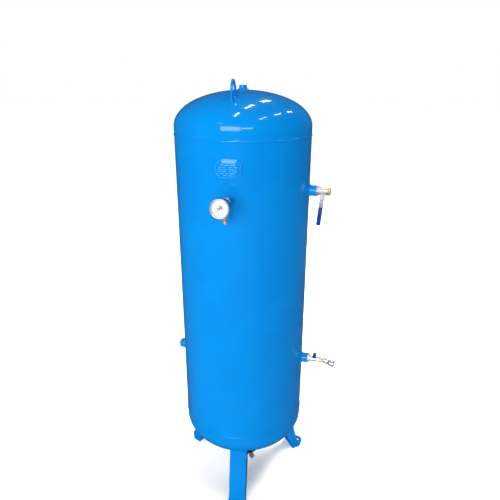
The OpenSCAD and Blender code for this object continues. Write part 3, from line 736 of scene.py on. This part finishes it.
@dataclass
class Studio:
    """Camera, lights and pale floor.

    Strips holds the x and y of the near ceiling lamps. The far one also has its length, its
    share of a strip's power and its turn.
    """

    eye: Triple = (0.3449, -1.7106, 1.6906)
    aim: Triple = (69.958, -0.131, 10.595)
    lens: float = 33.54
    floor_seen: Colour = (0.88, 0.88, 0.88)
    floor_lit: Colour = (0.20, 0.20, 0.21)
    floor_mirrored: Colour = (0.024, 0.028, 0.036)
    room_seen: Colour = (1.0, 1.0, 1.0)
    room_lit: Colour = (0.24, 0.24, 0.25)
    room_mirrored: Colour = (0.05, 0.055, 0.066)
    wash: float = 3.8
    ceiling: float = 4.5
    strip_power: float = 11.0
    strip_wide: float = 0.16
    strip_length: float = 0.85
    strip_turn: float = -10.0
    far_strip: tuple = (-1.9, -3.2, 0.9, 0.5, 75.0)
    strips: tuple[tuple[float, float], ...] = (
        (-0.25, -0.60), (0.05, 1.07), (0.30, 2.90),
        (1.52, -0.85), (1.88, 0.78), (2.16, 2.57),
    )

    def camera(self) -> None:
        """Set up the camera."""
        data = bpy.data.cameras.new("studio_camera")
        data.lens = self.lens
        data.sensor_width = 36.0
        data.clip_end = 100.0
        camera = bpy.data.objects.new("studio_camera", data)
        camera.location = self.eye
        camera.rotation_euler = [math.radians(a) for a in self.aim]
        bpy.context.scene.collection.objects.link(camera)
        bpy.context.scene.camera = camera

    def floor(self) -> bpy.types.Object:
        """Lay a large pale floor that shines little."""
        deselect()
        bpy.ops.mesh.primitive_plane_add(size=60.0, location=(0.0, 0.0, 0.0))
        floor = named("studio_floor")
        net = Net(bpy.data.materials.new("floor_paint"))
        soft = net.noise(per_metre=3.0, detail=3.0)
        pale = net.blend(soft, self.floor_seen, tuple(c * 1.04 for c in self.floor_seen))
        floor.data.materials.append(net.finish(
            Base_Color=net.by_ray(self.floor_lit, self.floor_mirrored, pale),
            Roughness=soft * 0.1 + 0.8, Specular_IOR_Level=0.1))
        return floor

    def room(self) -> None:
        """Light the room: even for matt surfaces, dim where gloss mirrors it."""
        net = Net(bpy.data.worlds.new("studio_world"))
        colour = net.by_ray(self.room_lit, self.room_mirrored, self.room_seen)
        bpy.context.scene.world = net.finish("Background", Color=colour, Strength=1.0)

    def floor_wash(self, floor: bpy.types.Object) -> None:
        """Even out the floor with a high light that reaches nothing else."""
        data = bpy.data.lights.new("floor_wash", "SUN")
        data.energy = self.wash
        data.angle = math.radians(40.0)
        wash = bpy.data.objects.new("floor_wash", data)
        wash.rotation_euler = (math.radians(-12.0), math.radians(10.0), 0.0)
        wash.visible_glossy = False
        bpy.context.scene.collection.objects.link(wash)
        lit = bpy.data.collections.new("floor_only")
        lit.objects.link(floor)
        wash.light_linking.receiver_collection = lit

    def strip(self, name: str, x: float, y: float, length: float, share: float,
              turn: float) -> None:
        """Hang one strip lamp under the ceiling.

        Args:
            name: Name of the lamp.
            x: Its place.
            y: Its place.
            length: Its length.
            share: Its share of a strip's full power.
            turn: Its turn in degrees.
        """
        at = (x, y, self.ceiling)
        size = (self.strip_wide, length)
        Lamp(name, at, (x, y, 0.0), size, self.strip_power * share, turn).hang()

    def build(self) -> None:
        """Make the whole studio."""
        bpy.context.scene.view_settings.view_transform = "Standard"
        self.camera()
        floor = self.floor()
        self.room()
        for lamp in LAMPS:
            lamp.hang()
        self.floor_wash(floor)
        for index, (x, y) in enumerate(self.strips):
            self.strip(f"strip_{index}", x, y, self.strip_length, 1.0, self.strip_turn)
        self.strip("strip_far", *self.far_strip)


# ---- tank ----


SOCKETS = ("top_socket", "gauge_socket", "outlet_socket", "service_socket", "spare_socket",
           "drain_socket")


@dataclass
class Tank:
    """Shell, heads, welds, sockets, legs, feet and lifting lug."""

    shop: Workshop
    body: str = "tank"
    wall: float = 4 * MM
    sides: int = 256
    head_steps: int = 40
    flange: float = 30 * MM
    ripples: int = 320
    ripple_depth: float = 0.28 * MM
    round_bead: float = 3.2 * MM
    round_sink: float = 1.2 * MM
    round_rise: float = 1.35
    long_bead: float = 3.4 * MM
    long_sink: float = 1.6 * MM
    leg_bead: float = 2.6 * MM
    lug_bead: float = 3.0 * MM
    bead_bend: float = 20.0
    edge_round: float = 0.9 * MM
    plate_round: float = 1.0 * MM
    plug_round: float = 0.5 * MM
    press_radius: float = 5.5 * MM
    touch: float = 0.0016
    weld_grain: float = 1.1 * MM
    weld_wave: float = 0.24 * MM
    weld_pitch: float = 2.5 * MM
    weld_scales: int = 52

    def __post_init__(self) -> None:
        """Read the driving sizes from the frame."""
        low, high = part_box("shell")
        self.radius = high[0]
        self.seam_low, self.seam_high = low[2], high[2]
        self.pole_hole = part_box("top_socket")[1][0]
        self.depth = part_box("top_head")[1][2] - self.seam_high - self.flange
        self.depth /= math.sqrt(1.0 - (self.pole_hole / self.radius) ** 2)

    def paint(self, piece: bpy.types.Object, replaces: Iterable[str] = (),
              smooth: float = 35.0) -> None:
        """Hand in a painted piece of the tank.

        Args:
            piece: The piece.
            replaces: CAD nodes that it stands for.
            smooth: Edges flatter than this angle are shaded smooth.
        """
        self.shop.hand_in(piece, self.body, Slot.PAINT, replaces, smooth=smooth)

    def wall_tube(self) -> None:
        """Roll the shell."""
        r, low, high = self.radius, self.seam_low, self.seam_high
        profile = [(low, r), (high, r), (high, r - self.wall), (low, r - self.wall)]
        self.paint(turned("shell_wall", profile, self.sides), ["shell"])

    def dish(self, name: str, seam: float, up: int, node: str) -> None:
        """Press one head.

        Args:
            name: Name of the piece.
            seam: Height of its seam.
            up: 1 for the top head and -1 for the bottom one.
            node: CAD node that it stands for.
        """
        r, t = self.radius, self.wall
        hole = math.degrees(math.acos(self.pole_hole / r))
        angles = [hole * i / self.head_steps for i in range(self.head_steps + 1)]

        def skin(grow: float) -> list[tuple[float, float]]:
            """Quarter ellipse of the outside, or of the inside with a negative growth."""
            return [
                (seam + up * (self.flange + (self.depth + grow) * math.sin(math.radians(a))),
                 (r + grow) * math.cos(math.radians(a)))
                for a in angles
            ]

        profile = [(seam, r), *skin(0.0), *reversed(skin(-t)), (seam, r - t)]
        self.paint(turned(name, profile, self.sides), [node])

    def on_head(self, point: Vector) -> bool:
        """True for a point on the outside of either head."""
        for seam, up in ((self.seam_high, 1), (self.seam_low, -1)):
            rise = (point.z - seam) * up - self.flange
            if rise > 0.0:
                level = (point.x ** 2 + point.y ** 2) / self.radius ** 2
                level += (rise / self.depth) ** 2
                return abs(math.sqrt(level) - 1.0) < self.touch
        return False

    def bead(self, node: str, name: str, thick: float) -> None:
        """Lay a weld bead along the outline where a CAD node meets a head.

        Args:
            node: The CAD node whose edges carry the bead.
            name: Name of the bead.
            thick: Radius of the bead.
        """
        piece = bench_copy(node, name, flat=1.0)
        with editing(piece, "EDGE", "DESELECT") as mesh:
            for edge in mesh.edges:
                bent = edge.calc_face_angle(0.0) > math.radians(self.bead_bend)
                edge.select = bent and all(self.on_head(v.co) for v in edge.verts)
            bmesh.update_edit_mesh(piece.data)
            bpy.ops.mesh.select_all(action="INVERT")
            bpy.ops.mesh.delete(type="EDGE_FACE")
            bpy.ops.mesh.select_all(action="SELECT")
            bpy.ops.mesh.delete_loose(use_verts=True, use_edges=False, use_faces=False)
        bpy.ops.object.convert(target="CURVE")
        curve = bpy.context.object.data
        curve.bevel_depth = thick
        curve.bevel_resolution = 2
        curve.use_fill_caps = True
        bpy.ops.object.convert(target="MESH")
        self.paint(named(name), smooth=60.0)

    def seam_bead(self, z: float) -> bpy.types.Object:
        """Weld one rippled round seam.

        Args:
            z: Height of the seam.

        Returns:
            The bead.
        """
        deselect()
        count = self.ripples * 3
        bpy.ops.mesh.primitive_torus_add(
            major_radius=self.radius - self.round_sink, minor_radius=self.round_bead,
            major_segments=count, minor_segments=10,
        )
        piece = bpy.context.object
        piece.scale = (1.0, 1.0, self.round_rise)
        bpy.ops.object.transform_apply(scale=True)
        with editing(piece, "VERT", "DESELECT") as mesh:
            for vert in mesh.verts:
                turn = round(math.atan2(vert.co.y, vert.co.x) * count / math.tau)
                vert.select_set(turn % 3 == 0)
            bmesh.update_edit_mesh(piece.data)
            bpy.ops.transform.shrink_fatten(value=-self.ripple_depth)
        piece.data.transform(Matrix.Translation((0.0, 0.0, z)))
        return piece

    def seams(self) -> None:
        """Weld both round seams and the long seam."""
        beads = [self.seam_bead(z) for z in (self.seam_low, self.seam_high)]
        deselect()
        length = self.seam_high - self.seam_low
        bpy.ops.mesh.primitive_cylinder_add(
            vertices=12, radius=self.long_bead, depth=length,
            location=(0.0, self.radius - self.long_sink, self.seam_low + length / 2),
        )
        beads.append(bpy.context.object)
        bpy.ops.object.transform_apply(location=True)
        self.paint(joined(beads, "seam_beads"), ["seam_welds"], smooth=50.0)

    def press_corners(self, piece: bpy.types.Object) -> None:
        """Round the two long corners where a leg's web was bent.

        Args:
            piece: The copy of the leg.
        """
        centre = sum((Vector(c) for c in piece.bound_box), Vector()) / 8
        out = Vector((centre.x, centre.y, 0.0)).normalized()
        with editing(piece, "EDGE", "DESELECT") as mesh:
            for edge in mesh.edges:
                run = edge.verts[1].co - edge.verts[0].co
                if run.length < 0.1 or abs(run.normalized().z) < 0.8 or len(edge.link_faces) != 2:
                    continue
                facing = [face.normal.dot(out) for face in edge.link_faces]
                edge.select = max(facing) > 0.9 and abs(min(facing)) < 0.2
            bmesh.update_edit_mesh(piece.data)
            bpy.ops.mesh.bevel(offset=self.press_radius, segments=5, clamp_overlap=True)

    def fillets(self) -> None:
        """Weld the sockets in, with the scales that a weld shows."""
        piece = bench_copy("socket_welds", "socket_fillets")
        use_modifier(piece, "REMESH", mode="VOXEL", voxel_size=self.weld_grain)
        frames = []
        for node in SOCKETS:
            low, high = (Vector(corner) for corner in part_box(node))
            c = (low + high) / 2
            out = math.hypot(c.x, c.y)
            turn = math.degrees(math.atan2(c.x, -c.y))
            place = Matrix.Translation(c) if out < 0.1 else side_place(turn, c.z, out)
            frames.append(place.inverted())
        moves = []
        for vert in piece.data.vertices:
            p = min((frame @ vert.co for frame in frames), key=lambda q: q.length)
            phase = math.atan2(p.y, p.x) * self.weld_scales / 2
            wave = math.sin(phase + math.hypot(p.x, p.y) / self.weld_pitch)
            moves.append(vert.normal * self.weld_wave * (abs(wave) - 0.7))
        for vert, move in zip(piece.data.vertices, moves):
            vert.co += move
        self.paint(piece, ["socket_welds"], smooth=80.0)

    def build(self) -> None:
        """Make every piece of the tank."""
        self.wall_tube()
        self.dish("dome_top", self.seam_high, 1, "top_head")
        self.dish("dome_bottom", self.seam_low, -1, "bottom_head")
        self.seams()
        soft = self.shop.soften
        for node in ("leg_front", "leg_right", "leg_left"):
            soft(node, self.body, Slot.PAINT, self.edge_round, 2, self.press_corners)
            self.bead(node, node + "_bead", self.leg_bead)
        for node in ("foot_front", "foot_right", "foot_left", "lifting_lug"):
            soft(node, self.body, Slot.PAINT, self.plate_round)
        self.bead("lifting_lug", "lug_bead", self.lug_bead)
        self.fillets()
        for node in SOCKETS:
            soft(node, self.body, Slot.PAINT, self.edge_round, 3)
        soft("spare_plug", self.body, Slot.BRASS, self.plug_round)


@dataclass
class Nameplate:
    """Embossed plate on the shell, painted over.

    Each row holds its level, its height in millimetres and the ends of its dashes, where level
    and ends are shares of half the plate.
    """

    shop: Workshop
    body: str = "tank"
    ear: float = 7 * MM
    inset: float = 3 * MM
    raised: float = 0.8 * MM
    rim: float = 1.4 * MM
    corner: float = 14 * MM
    plate_round: float = 0.5 * MM
    rivet_round: float = 0.35 * MM
    bar_round: float = 0.28 * MM
    cut_every: float = 6 * MM
    rows: tuple = (
        (0.72, 4.6, ((-0.46, -0.10), (-0.04, 0.22), (0.28, 0.48))),
        (0.44, 3.0, ((-0.62, -0.36), (-0.28, 0.12), (0.20, 0.60))),
        (0.18, 2.4, ((-0.80, -0.52), (-0.40, -0.22), (0.06, 0.34), (0.42, 0.80))),
        (-0.06, 2.4, ((-0.80, -0.44), (-0.36, -0.10), (0.06, 0.50), (0.58, 0.72))),
        (-0.30, 2.4, ((-0.80, -0.58), (-0.48, -0.14), (0.06, 0.26), (0.34, 0.76))),
        (-0.54, 2.4, ((-0.66, -0.30), (-0.20, 0.06), (0.16, 0.58))),
        (-0.76, 2.4, ((-0.40, -0.12), (0.02, 0.40))),
    )

    def __post_init__(self) -> None:
        """Read the plate's place from the frame."""
        low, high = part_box("nameplate")
        self.middle = (low[2] + high[2]) / 2
        self.width = high[0] - low[0] - 2 * self.ear
        self.height = high[2] - low[2]
        self.face = -low[1]

    def bar(self, x: float, y: float, wide: float, tall: float) -> bpy.types.Object:
        """One raised bar, cut across so that it can bend.

        Args:
            x: Its middle along the plate.
            y: Its middle above the plate's middle.
            wide: Its length.
            tall: Its height.

        Returns:
            The flat bar.
        """
        size = (wide, tall, self.raised * 1.5)
        piece = block("bar", (x, y, self.raised * 0.25), size, self.bar_round)
        cuts = max(1, int(wide / self.cut_every))
        with editing(piece):
            for index in range(1, cuts + 1):
                bpy.ops.mesh.select_all(action="SELECT")
                at = x - wide / 2 + wide * index / (cuts + 1)
                bpy.ops.mesh.bisect(plane_co=(at, 0.0, 0.0), plane_no=(1.0, 0.0, 0.0))
        return piece

    def build(self) -> None:
        """Make the plate, its raised pattern and its rivets."""
        self.shop.soften("nameplate", self.body, Slot.PAINT, self.plate_round)
        self.shop.soften("nameplate_rivets", self.body, Slot.PAINT, self.rivet_round)
        w, h, cut = self.width / 2 - self.inset, self.height / 2 - self.inset, self.corner
        bars = [self.bar(0.0, y, 2 * (w - cut), self.rim) for y in (h, -h)]
        bars += [self.bar(x, 0.0, self.rim, 2 * (h - cut)) for x in (-w, w)]
        for sx, sy in ((1, 1), (1, -1), (-1, 1), (-1, -1)):
            slant = self.bar(0.0, 0.0, cut * math.sqrt(2.0), self.rim)
            slant.data.transform(
                Matrix.Translation((sx * (w - cut / 2), sy * (h - cut / 2), 0.0))
                @ Matrix.Rotation(math.radians(-45.0 * sx * sy), 4, "Z"))
            bars.append(slant)
        for level, tall, dashes in self.rows:
            for left, right in dashes:
                middle = w * (left + right) / 2
                bars.append(self.bar(middle, h * level, w * (right - left), tall * MM))
        piece = joined(bars, "nameplate_bars")
        for vert in piece.data.vertices:
            a = vert.co.x / self.face
            r = self.face + vert.co.z
            vert.co = (r * math.sin(a), -r * math.cos(a), self.middle + vert.co.y)
        # The raised bars take the lighter enamel: a painted highlight on the embossed pattern.
        self.shop.hand_in(piece, self.body, Slot.PAINT, finish="rubbed_enamel")


# ---- fittings ----

SOFT_NODES: dict[Slot, tuple[str, ...]] = {
    Slot.NICKEL: ("gauge_tee", "relief_body", "relief_knob", "outlet_reducer", "outlet_body",
                  "service_valve", "drain_elbow", "drain_nipple", "drain_valve"),
    Slot.BRASS: ("relief_bonnet", "gauge_stem", "outlet_end", "outlet_gland", "outlet_stem",
                 "service_nipple"),
    Slot.CHROME: ("coupler_body", "coupler_sleeve"),
    Slot.ZINC: ("outlet_lever", "outlet_lever_nut"),
    Slot.BLACK: ("drain_handle",),
    Slot.VINYL: ("outlet_sleeve", "service_handle"),
}

ROUNDING: dict[str, float] = {
    "outlet_sleeve": 2.4 * MM, "service_handle": 1.2 * MM, "drain_handle": 1.2 * MM,
    "coupler_sleeve": 0.8 * MM, "coupler_body": 0.6 * MM, "outlet_body": 0.8 * MM,
    "service_valve": 0.5 * MM, "outlet_lever": 0.5 * MM,
}
FINE_ROUNDING = 0.35 * MM


@dataclass
class Gauge:
    """Pressure gauge: bezel, dial print and case.

    Radii in the tables are shares of the dial's radius, and angles run clockwise from the top.
    """

    shop: Workshop
    body: str = "tank"
    ink: float = 0.08 * MM
    sweep: float = 270.0
    bezel_sides: int = 128
    case_round: float = 1.0 * MM
    caption_tall: float = 0.7 * MM
    caption_low: float = -0.60
    tick_rings: tuple = (
        ("dial_ticks", 17, 0.81, 0.90, 0.34 * MM, "grey_ink"),
        ("dial_fine_ticks", 81, 0.86, 0.90, 0.16 * MM, "grey_ink"),
        ("dial_inner_ticks", 49, 0.50, 0.56, 0.30 * MM, "pink_ink"),
    )
    number_rings: tuple = (
        ("dial_numbers", range(0, 17, 2), 0.70, 3.0 * MM, "dial_ink"),
        ("dial_inner_numbers", range(0, 241, 40), 0.43, 1.8 * MM, "pink_ink"),
    )
    bands: tuple = (
        ("dial_arc_green", 0.17, 0.33, -125.0, -75.0, "green_ink"),
        ("dial_arc_yellow", 0.17, 0.33, -75.0, -25.0, "yellow_ink"),
        ("dial_arc_red", 0.17, 0.33, -25.0, 12.0, "red_ink"),
        ("dial_arc_dark", 0.17, 0.33, 12.0, 52.0, "dial_ink"),
        ("dial_arc_end", 0.17, 0.33, 52.0, 115.0, "red_ink"),
        ("dial_line", 0.895, 0.91, -135.0, 135.0, "grey_ink"),
    )
    captions: tuple = ((-0.11, 4.2 * MM), (0.14, 3.0 * MM))

    def __post_init__(self) -> None:
        """Read the gauge's place from the frame."""
        low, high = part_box("gauge_dial")
        self.z = (low[2] + high[2]) / 2
        self.dial_r = (high[2] - low[2]) / 2
        self.print_place = side_place(0.0, self.z, -low[1])

    def bezel(self) -> None:
        """Turn the crimped bezel."""
        low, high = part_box("gauge_bezel")
        back, face, r = -high[1], -low[1], (high[2] - low[2]) / 2
        lip = r - 4.2 * MM
        profile = [
            (back, r - 1.1 * MM), (back, r - 0.5 * MM), (back + 0.8 * MM, r),
            (face - 2.2 * MM, r), (face - 1.0 * MM, r - 0.35 * MM),
            (face - 0.3 * MM, r - 1.1 * MM), (face, r - 2.1 * MM),
            (face - 0.25 * MM, r - 3.1 * MM), (face - 0.8 * MM, lip + 0.1 * MM),
            (face - 1.15 * MM, lip), (face - 1.15 * MM, r - 1.1 * MM),
        ]
        self.shop.hand_in(
            turned("bezel_ring", profile, self.bezel_sides), self.body, Slot.CHROME,
            ["gauge_bezel"], side_place(0.0, self.z), smooth=25.0, finish="satin_steel")

    def stamp(self, piece: bpy.types.Object, ink: str) -> None:
        """Put a print, made flat round the origin, on the dial."""
        self.shop.hand_in(piece, self.body, Slot.DIAL, place=self.print_place, finish=ink)

    def band(self, name: str, inner: float, outer: float, start: float, end: float,
             ink: str) -> None:
        """Print an arc.

        Args:
            name: Name of the arc.
            inner: Inner radius.
            outer: Outer radius.
            start: First angle in degrees.
            end: Last angle in degrees.
            ink: Its ink.
        """
        inner, outer, sweep = inner * self.dial_r, outer * self.dial_r, end - start
        deselect()
        bpy.ops.mesh.primitive_plane_add(size=1.0, rotation=(math.pi / 2, 0.0, 0.0),
                                         location=((inner + outer) / 2, 0.0, self.ink / 2))
        piece = named(name)
        piece.scale = (outer - inner, self.ink, 1.0)
        bpy.ops.object.transform_apply(location=True, rotation=True, scale=True)
        piece.data.transform(Matrix.Rotation(math.radians(90.0 - start), 4, "Z"))
        with editing(piece):
            bpy.ops.mesh.spin(steps=max(3, int(sweep / 4)), angle=math.radians(sweep),
                              center=(0.0, 0.0, 0.0), axis=(0.0, 0.0, 1.0))
        self.stamp(piece, ink)

    def ticks(self, name: str, count: int, inner: float, outer: float, wide: float,
              ink: str) -> None:
        """Print one ring of ticks over the sweep.

        Args:
            name: Name of the ring.
            count: Number of ticks.
            inner: Inner radius.
            outer: Outer radius.
            wide: Width of a tick.
            ink: Its ink.
        """
        middle, length = self.dial_r * (inner + outer) / 2, self.dial_r * (outer - inner)
        tick = block(name, (0.0, middle, self.ink / 2), (wide, length, self.ink), wide * 0.15)
        self.stamp(copies_round(tick, count, self.sweep / (count - 1), -self.sweep / 2), ink)

    def numbers(self, name: str, values: Sequence[int], radius: float, size: float,
                ink: str) -> None:
        """Print upright numbers over the sweep.

        Args:
            name: Name of the ring of numbers.
            values: The numbers in order.
            radius: Radius of their middles.
            size: Height of the type.
            ink: Its ink.
        """
        printed = []
        for index, value in enumerate(values):
            turn = math.radians(-self.sweep / 2 + self.sweep * index / (len(values) - 1))
            deselect()
            bpy.ops.object.text_add(location=(0.0, 0.0, 0.0))
            text = bpy.context.object.data
            text.body = str(value)
            text.size = size
            text.align_x = text.align_y = "CENTER"
            text.extrude = self.ink / 2
            text.resolution_u = 3
            bpy.ops.object.convert(target="MESH")
            at = Vector((math.sin(turn), math.cos(turn), 0.0)) * radius * self.dial_r
            at.z = self.ink / 2
            bpy.context.object.data.transform(Matrix.Translation(at))
            printed.append(bpy.context.object)
        self.stamp(joined(printed, name), ink)

    def build(self) -> None:
        """Make the gauge."""
        self.shop.soften("gauge_case", self.body, Slot.BLACK, self.case_round, 3)
        self.bezel()
        for ring in self.tick_rings:
            self.ticks(*ring)
        for ring in self.number_rings:
            self.numbers(*ring)
        for arc in self.bands:
            self.band(*arc)
        r = self.dial_r
        y, tall = self.caption_low * r, self.caption_tall
        lines = [block("caption", (x * r, y, self.ink / 2), (wide, tall, self.ink), self.ink / 4)
                 for x, wide in self.captions]
        self.stamp(joined(lines, "dial_caption"), "grey_ink")


@dataclass
class Trims:
    """Grips, ribs, rings, threads and springs of the fittings."""

    shop: Workshop
    turn: float = 85.0
    pivot: float = 305 * MM
    lean: float = 5.0
    droop: float = 18.0
    root: float = 0.05 * MM
    rib_share: float = 0.55
    rib_round: float = 0.45
    coarse_pitch: float = 1.8 * MM
    fine_pitch: float = 1.34 * MM
    fine_below: float = 8 * MM
    thread_depth: float = 0.45
    longest_mm: float = 16.0
    run_out_mm: float = 1.5
    clearance: float = 0.03 * MM
    ports: tuple = (
        ("top_port", "top_socket", Slot.ZINC), ("air_outlet", "outlet_end", Slot.BRASS),
        ("drain_outlet", "drain_valve", Slot.NICKEL),
    )

    def ribs(self, name: str, body: str, slot: Slot, place: Matrix, radius: float,
             length: float, middle: float, count: int, deep: float) -> None:
        """Raise straight grip ribs round an axis.

        Args:
            name: Name of the ribs.
            body: CAD body that they move with.
            slot: Record slot of their finish.
            place: Frame whose z is the axis.
            radius: Radius of the face that they stand on.
            length: Length of a rib.
            middle: Place of their middles on the axis.
            count: Number of ribs.
            deep: Height of a rib.
        """
        radius -= self.root
        wide = 2 * math.pi * radius / count * self.rib_share
        rib = block(name, (0.0, radius, middle), (wide, deep * 2, length), deep * self.rib_round)
        self.shop.hand_in(copies_round(rib, count, 360.0 / count), body, slot, place=place)

    def sleeve_rib(self) -> None:
        """Raise the rib along the lever's sleeve."""
        low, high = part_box("outlet_stem")
        place = side_place(self.turn, (low[2] + high[2]) / 2, self.pivot)
        place = place @ Matrix.Rotation(math.radians(self.lean), 4, "X")
        low, high = extent("outlet_sleeve", place)
        middle, size = (low + high) / 2, high - low
        rib = block("sleeve_rib", (low.x, middle.y + 2 * MM, middle.z),
                    (1.3 * MM, size.y * 0.62, 3.6 * MM), 0.55 * MM)
        collar = block("sleeve_collar", (middle.x, high.y - 2.2 * MM, middle.z),
                       (size.x + 0.9 * MM, 3.0 * MM, size.z + 0.9 * MM), 1.0 * MM)
        for piece in (rib, collar):
            self.shop.hand_in(piece, "outlet_handle", Slot.VINYL, place=place)

    def coupler(self) -> None:
        """Grip ribs and dust ring of the hose coupling."""
        low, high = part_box("coupler_sleeve")
        middle = (Vector(low) + Vector(high)) / 2
        out = side_place(self.turn, middle.z)
        axis = out @ Matrix.Rotation(math.radians(self.droop), 4, "X")
        place = Matrix.Translation(middle) @ axis.to_3x3().to_4x4()
        near, far = extent("coupler_sleeve", place)
        for share in (0.30, 0.62):
            self.ribs(f"coupler_grip_{int(share * 100)}", "coupler_collar", Slot.CHROME, place,
                      radius=far.x, length=3.4 * MM, middle=near.z + (far.z - near.z) * share,
                      count=48, deep=0.35 * MM)
        z = extent("coupler_body", place)[1].z - 1.5 * MM
        bore, lip, rim = 9.55 * MM, 10.9 * MM, 11.4 * MM
        profile = [(z, bore), (z, lip), (z + 0.4 * MM, rim), (z + 0.9 * MM, rim),
                   (z + 1.3 * MM, lip), (z + 1.3 * MM, bore)]
        self.shop.hand_in(turned("coupler_dust_ring", profile, 64), "hose_coupler", Slot.VINYL,
                          place=place)

    def relief_grip(self) -> None:
        """Knurl the pull knob of the relief valve."""
        low, high = (Vector(corner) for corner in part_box("relief_knob"))
        size = high - low
        self.ribs("relief_knob_grip", "relief_pull", Slot.NICKEL,
                  Matrix.Translation((low + high) / 2), radius=size.x / 2,
                  length=size.z * 0.6, middle=0.0, count=36, deep=0.25 * MM)

    def threads(self, mounts: Sequence[dict]) -> None:
        """Cut the thread lines inside the open ports.

        Args:
            mounts: Mounts of the record.
        """
        by_name = {mount["name"]: mount for mount in mounts}
        for port, node, slot in self.ports:
            mount = by_name[port]
            turn = Vector(mount["axis"]).to_track_quat("Z", "Y").to_matrix().to_4x4()
            place = Matrix.Translation(mount["pos_m"]) @ turn
            mouth = extent(node, place)[1].z - 1.0 * MM
            root = mount["dims"]["r_mm"] * MM - self.clearance
            pitch = self.coarse_pitch if root > self.fine_below else self.fine_pitch
            length = min(mount["dims"]["length_mm"], self.longest_mm) - self.run_out_mm
            turns = int(length * MM / pitch)
            crest = root - pitch * self.thread_depth
            profile = [(mouth, root)]
            for ring in range(turns):
                z = mouth - ring * pitch
                profile += [(z - pitch / 2, crest), (z - pitch, root - self.root)]
            profile.append((mouth - turns * pitch, root))
            self.shop.hand_in(turned(port + "_thread", profile, 64), "tank", slot,
                              place=place, smooth=20.0)

    def springs(self, behaviour: dict) -> None:
        """Copy the coil springs onto the bodies that carry them.

        Args:
            behaviour: Bodies and joints of the record.
        """
        for joint in behaviour["joints"]:
            for part in joint.get("deforming_nodes", ()):
                node = part["node"]
                piece = bench_copy(node, node + "_coil", flat=0.01)
                press = Vector(joint["axis"])
                reach = [press.dot(v.co) for v in piece.data.vertices]
                stop, length = max(reach), max(reach) - min(reach)
                body = next(b for b, nodes in behaviour["bodies"].items() if node in nodes)
                self.shop.hand_in(piece, body, Slot.ZINC, [node])
                (length - joint["range_m"][1]) / length
                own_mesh(piece)

    def build(self, record: dict) -> None:
        """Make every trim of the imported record."""
        self.threads(record["mounts"])
        self.springs(record["behaviour"])
        self.sleeve_rib()
        self.coupler()
        self.relief_grip()


def dress_cad(frame: dict, finishes: dict[str, bpy.types.Material]) -> None:
    """Give every CAD node the finish of its record slot.

    Args:
        frame: The loaded frame.
        finishes: The receiver's materials by name.
    """
    slots = {part["node"]: part["material_slot"] for part in frame["record"]["subparts"]}
    for name, node in frame["nodes"].items():
        node.data.materials.clear()
        node.data.materials.append(finishes[SLOT_FINISH[Slot(slots[name])]])


def main() -> None:
    """Build the receiver's looks."""
    logging.basicConfig(level=logging.INFO, format="%(message)s")
    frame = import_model()
    record = frame["record"]
    finishes = {recipe.name: recipe.build() for recipe in RECIPES}
    Studio().build()
    dress_cad(frame, finishes)
    shop = Workshop(finishes)
    Tank(shop).build()
    Nameplate(shop).build()
    Gauge(shop).build()
    bodies = {node: body for body, nodes in record["behaviour"]["bodies"].items()
              for node in nodes}
    for slot, nodes in SOFT_NODES.items():
        for node in nodes:
            shop.soften(node, bodies[node], slot, ROUNDING.get(node, FINE_ROUNDING), 3)
    Trims(shop).build(record)


if __name__ == "__main__":
    main()
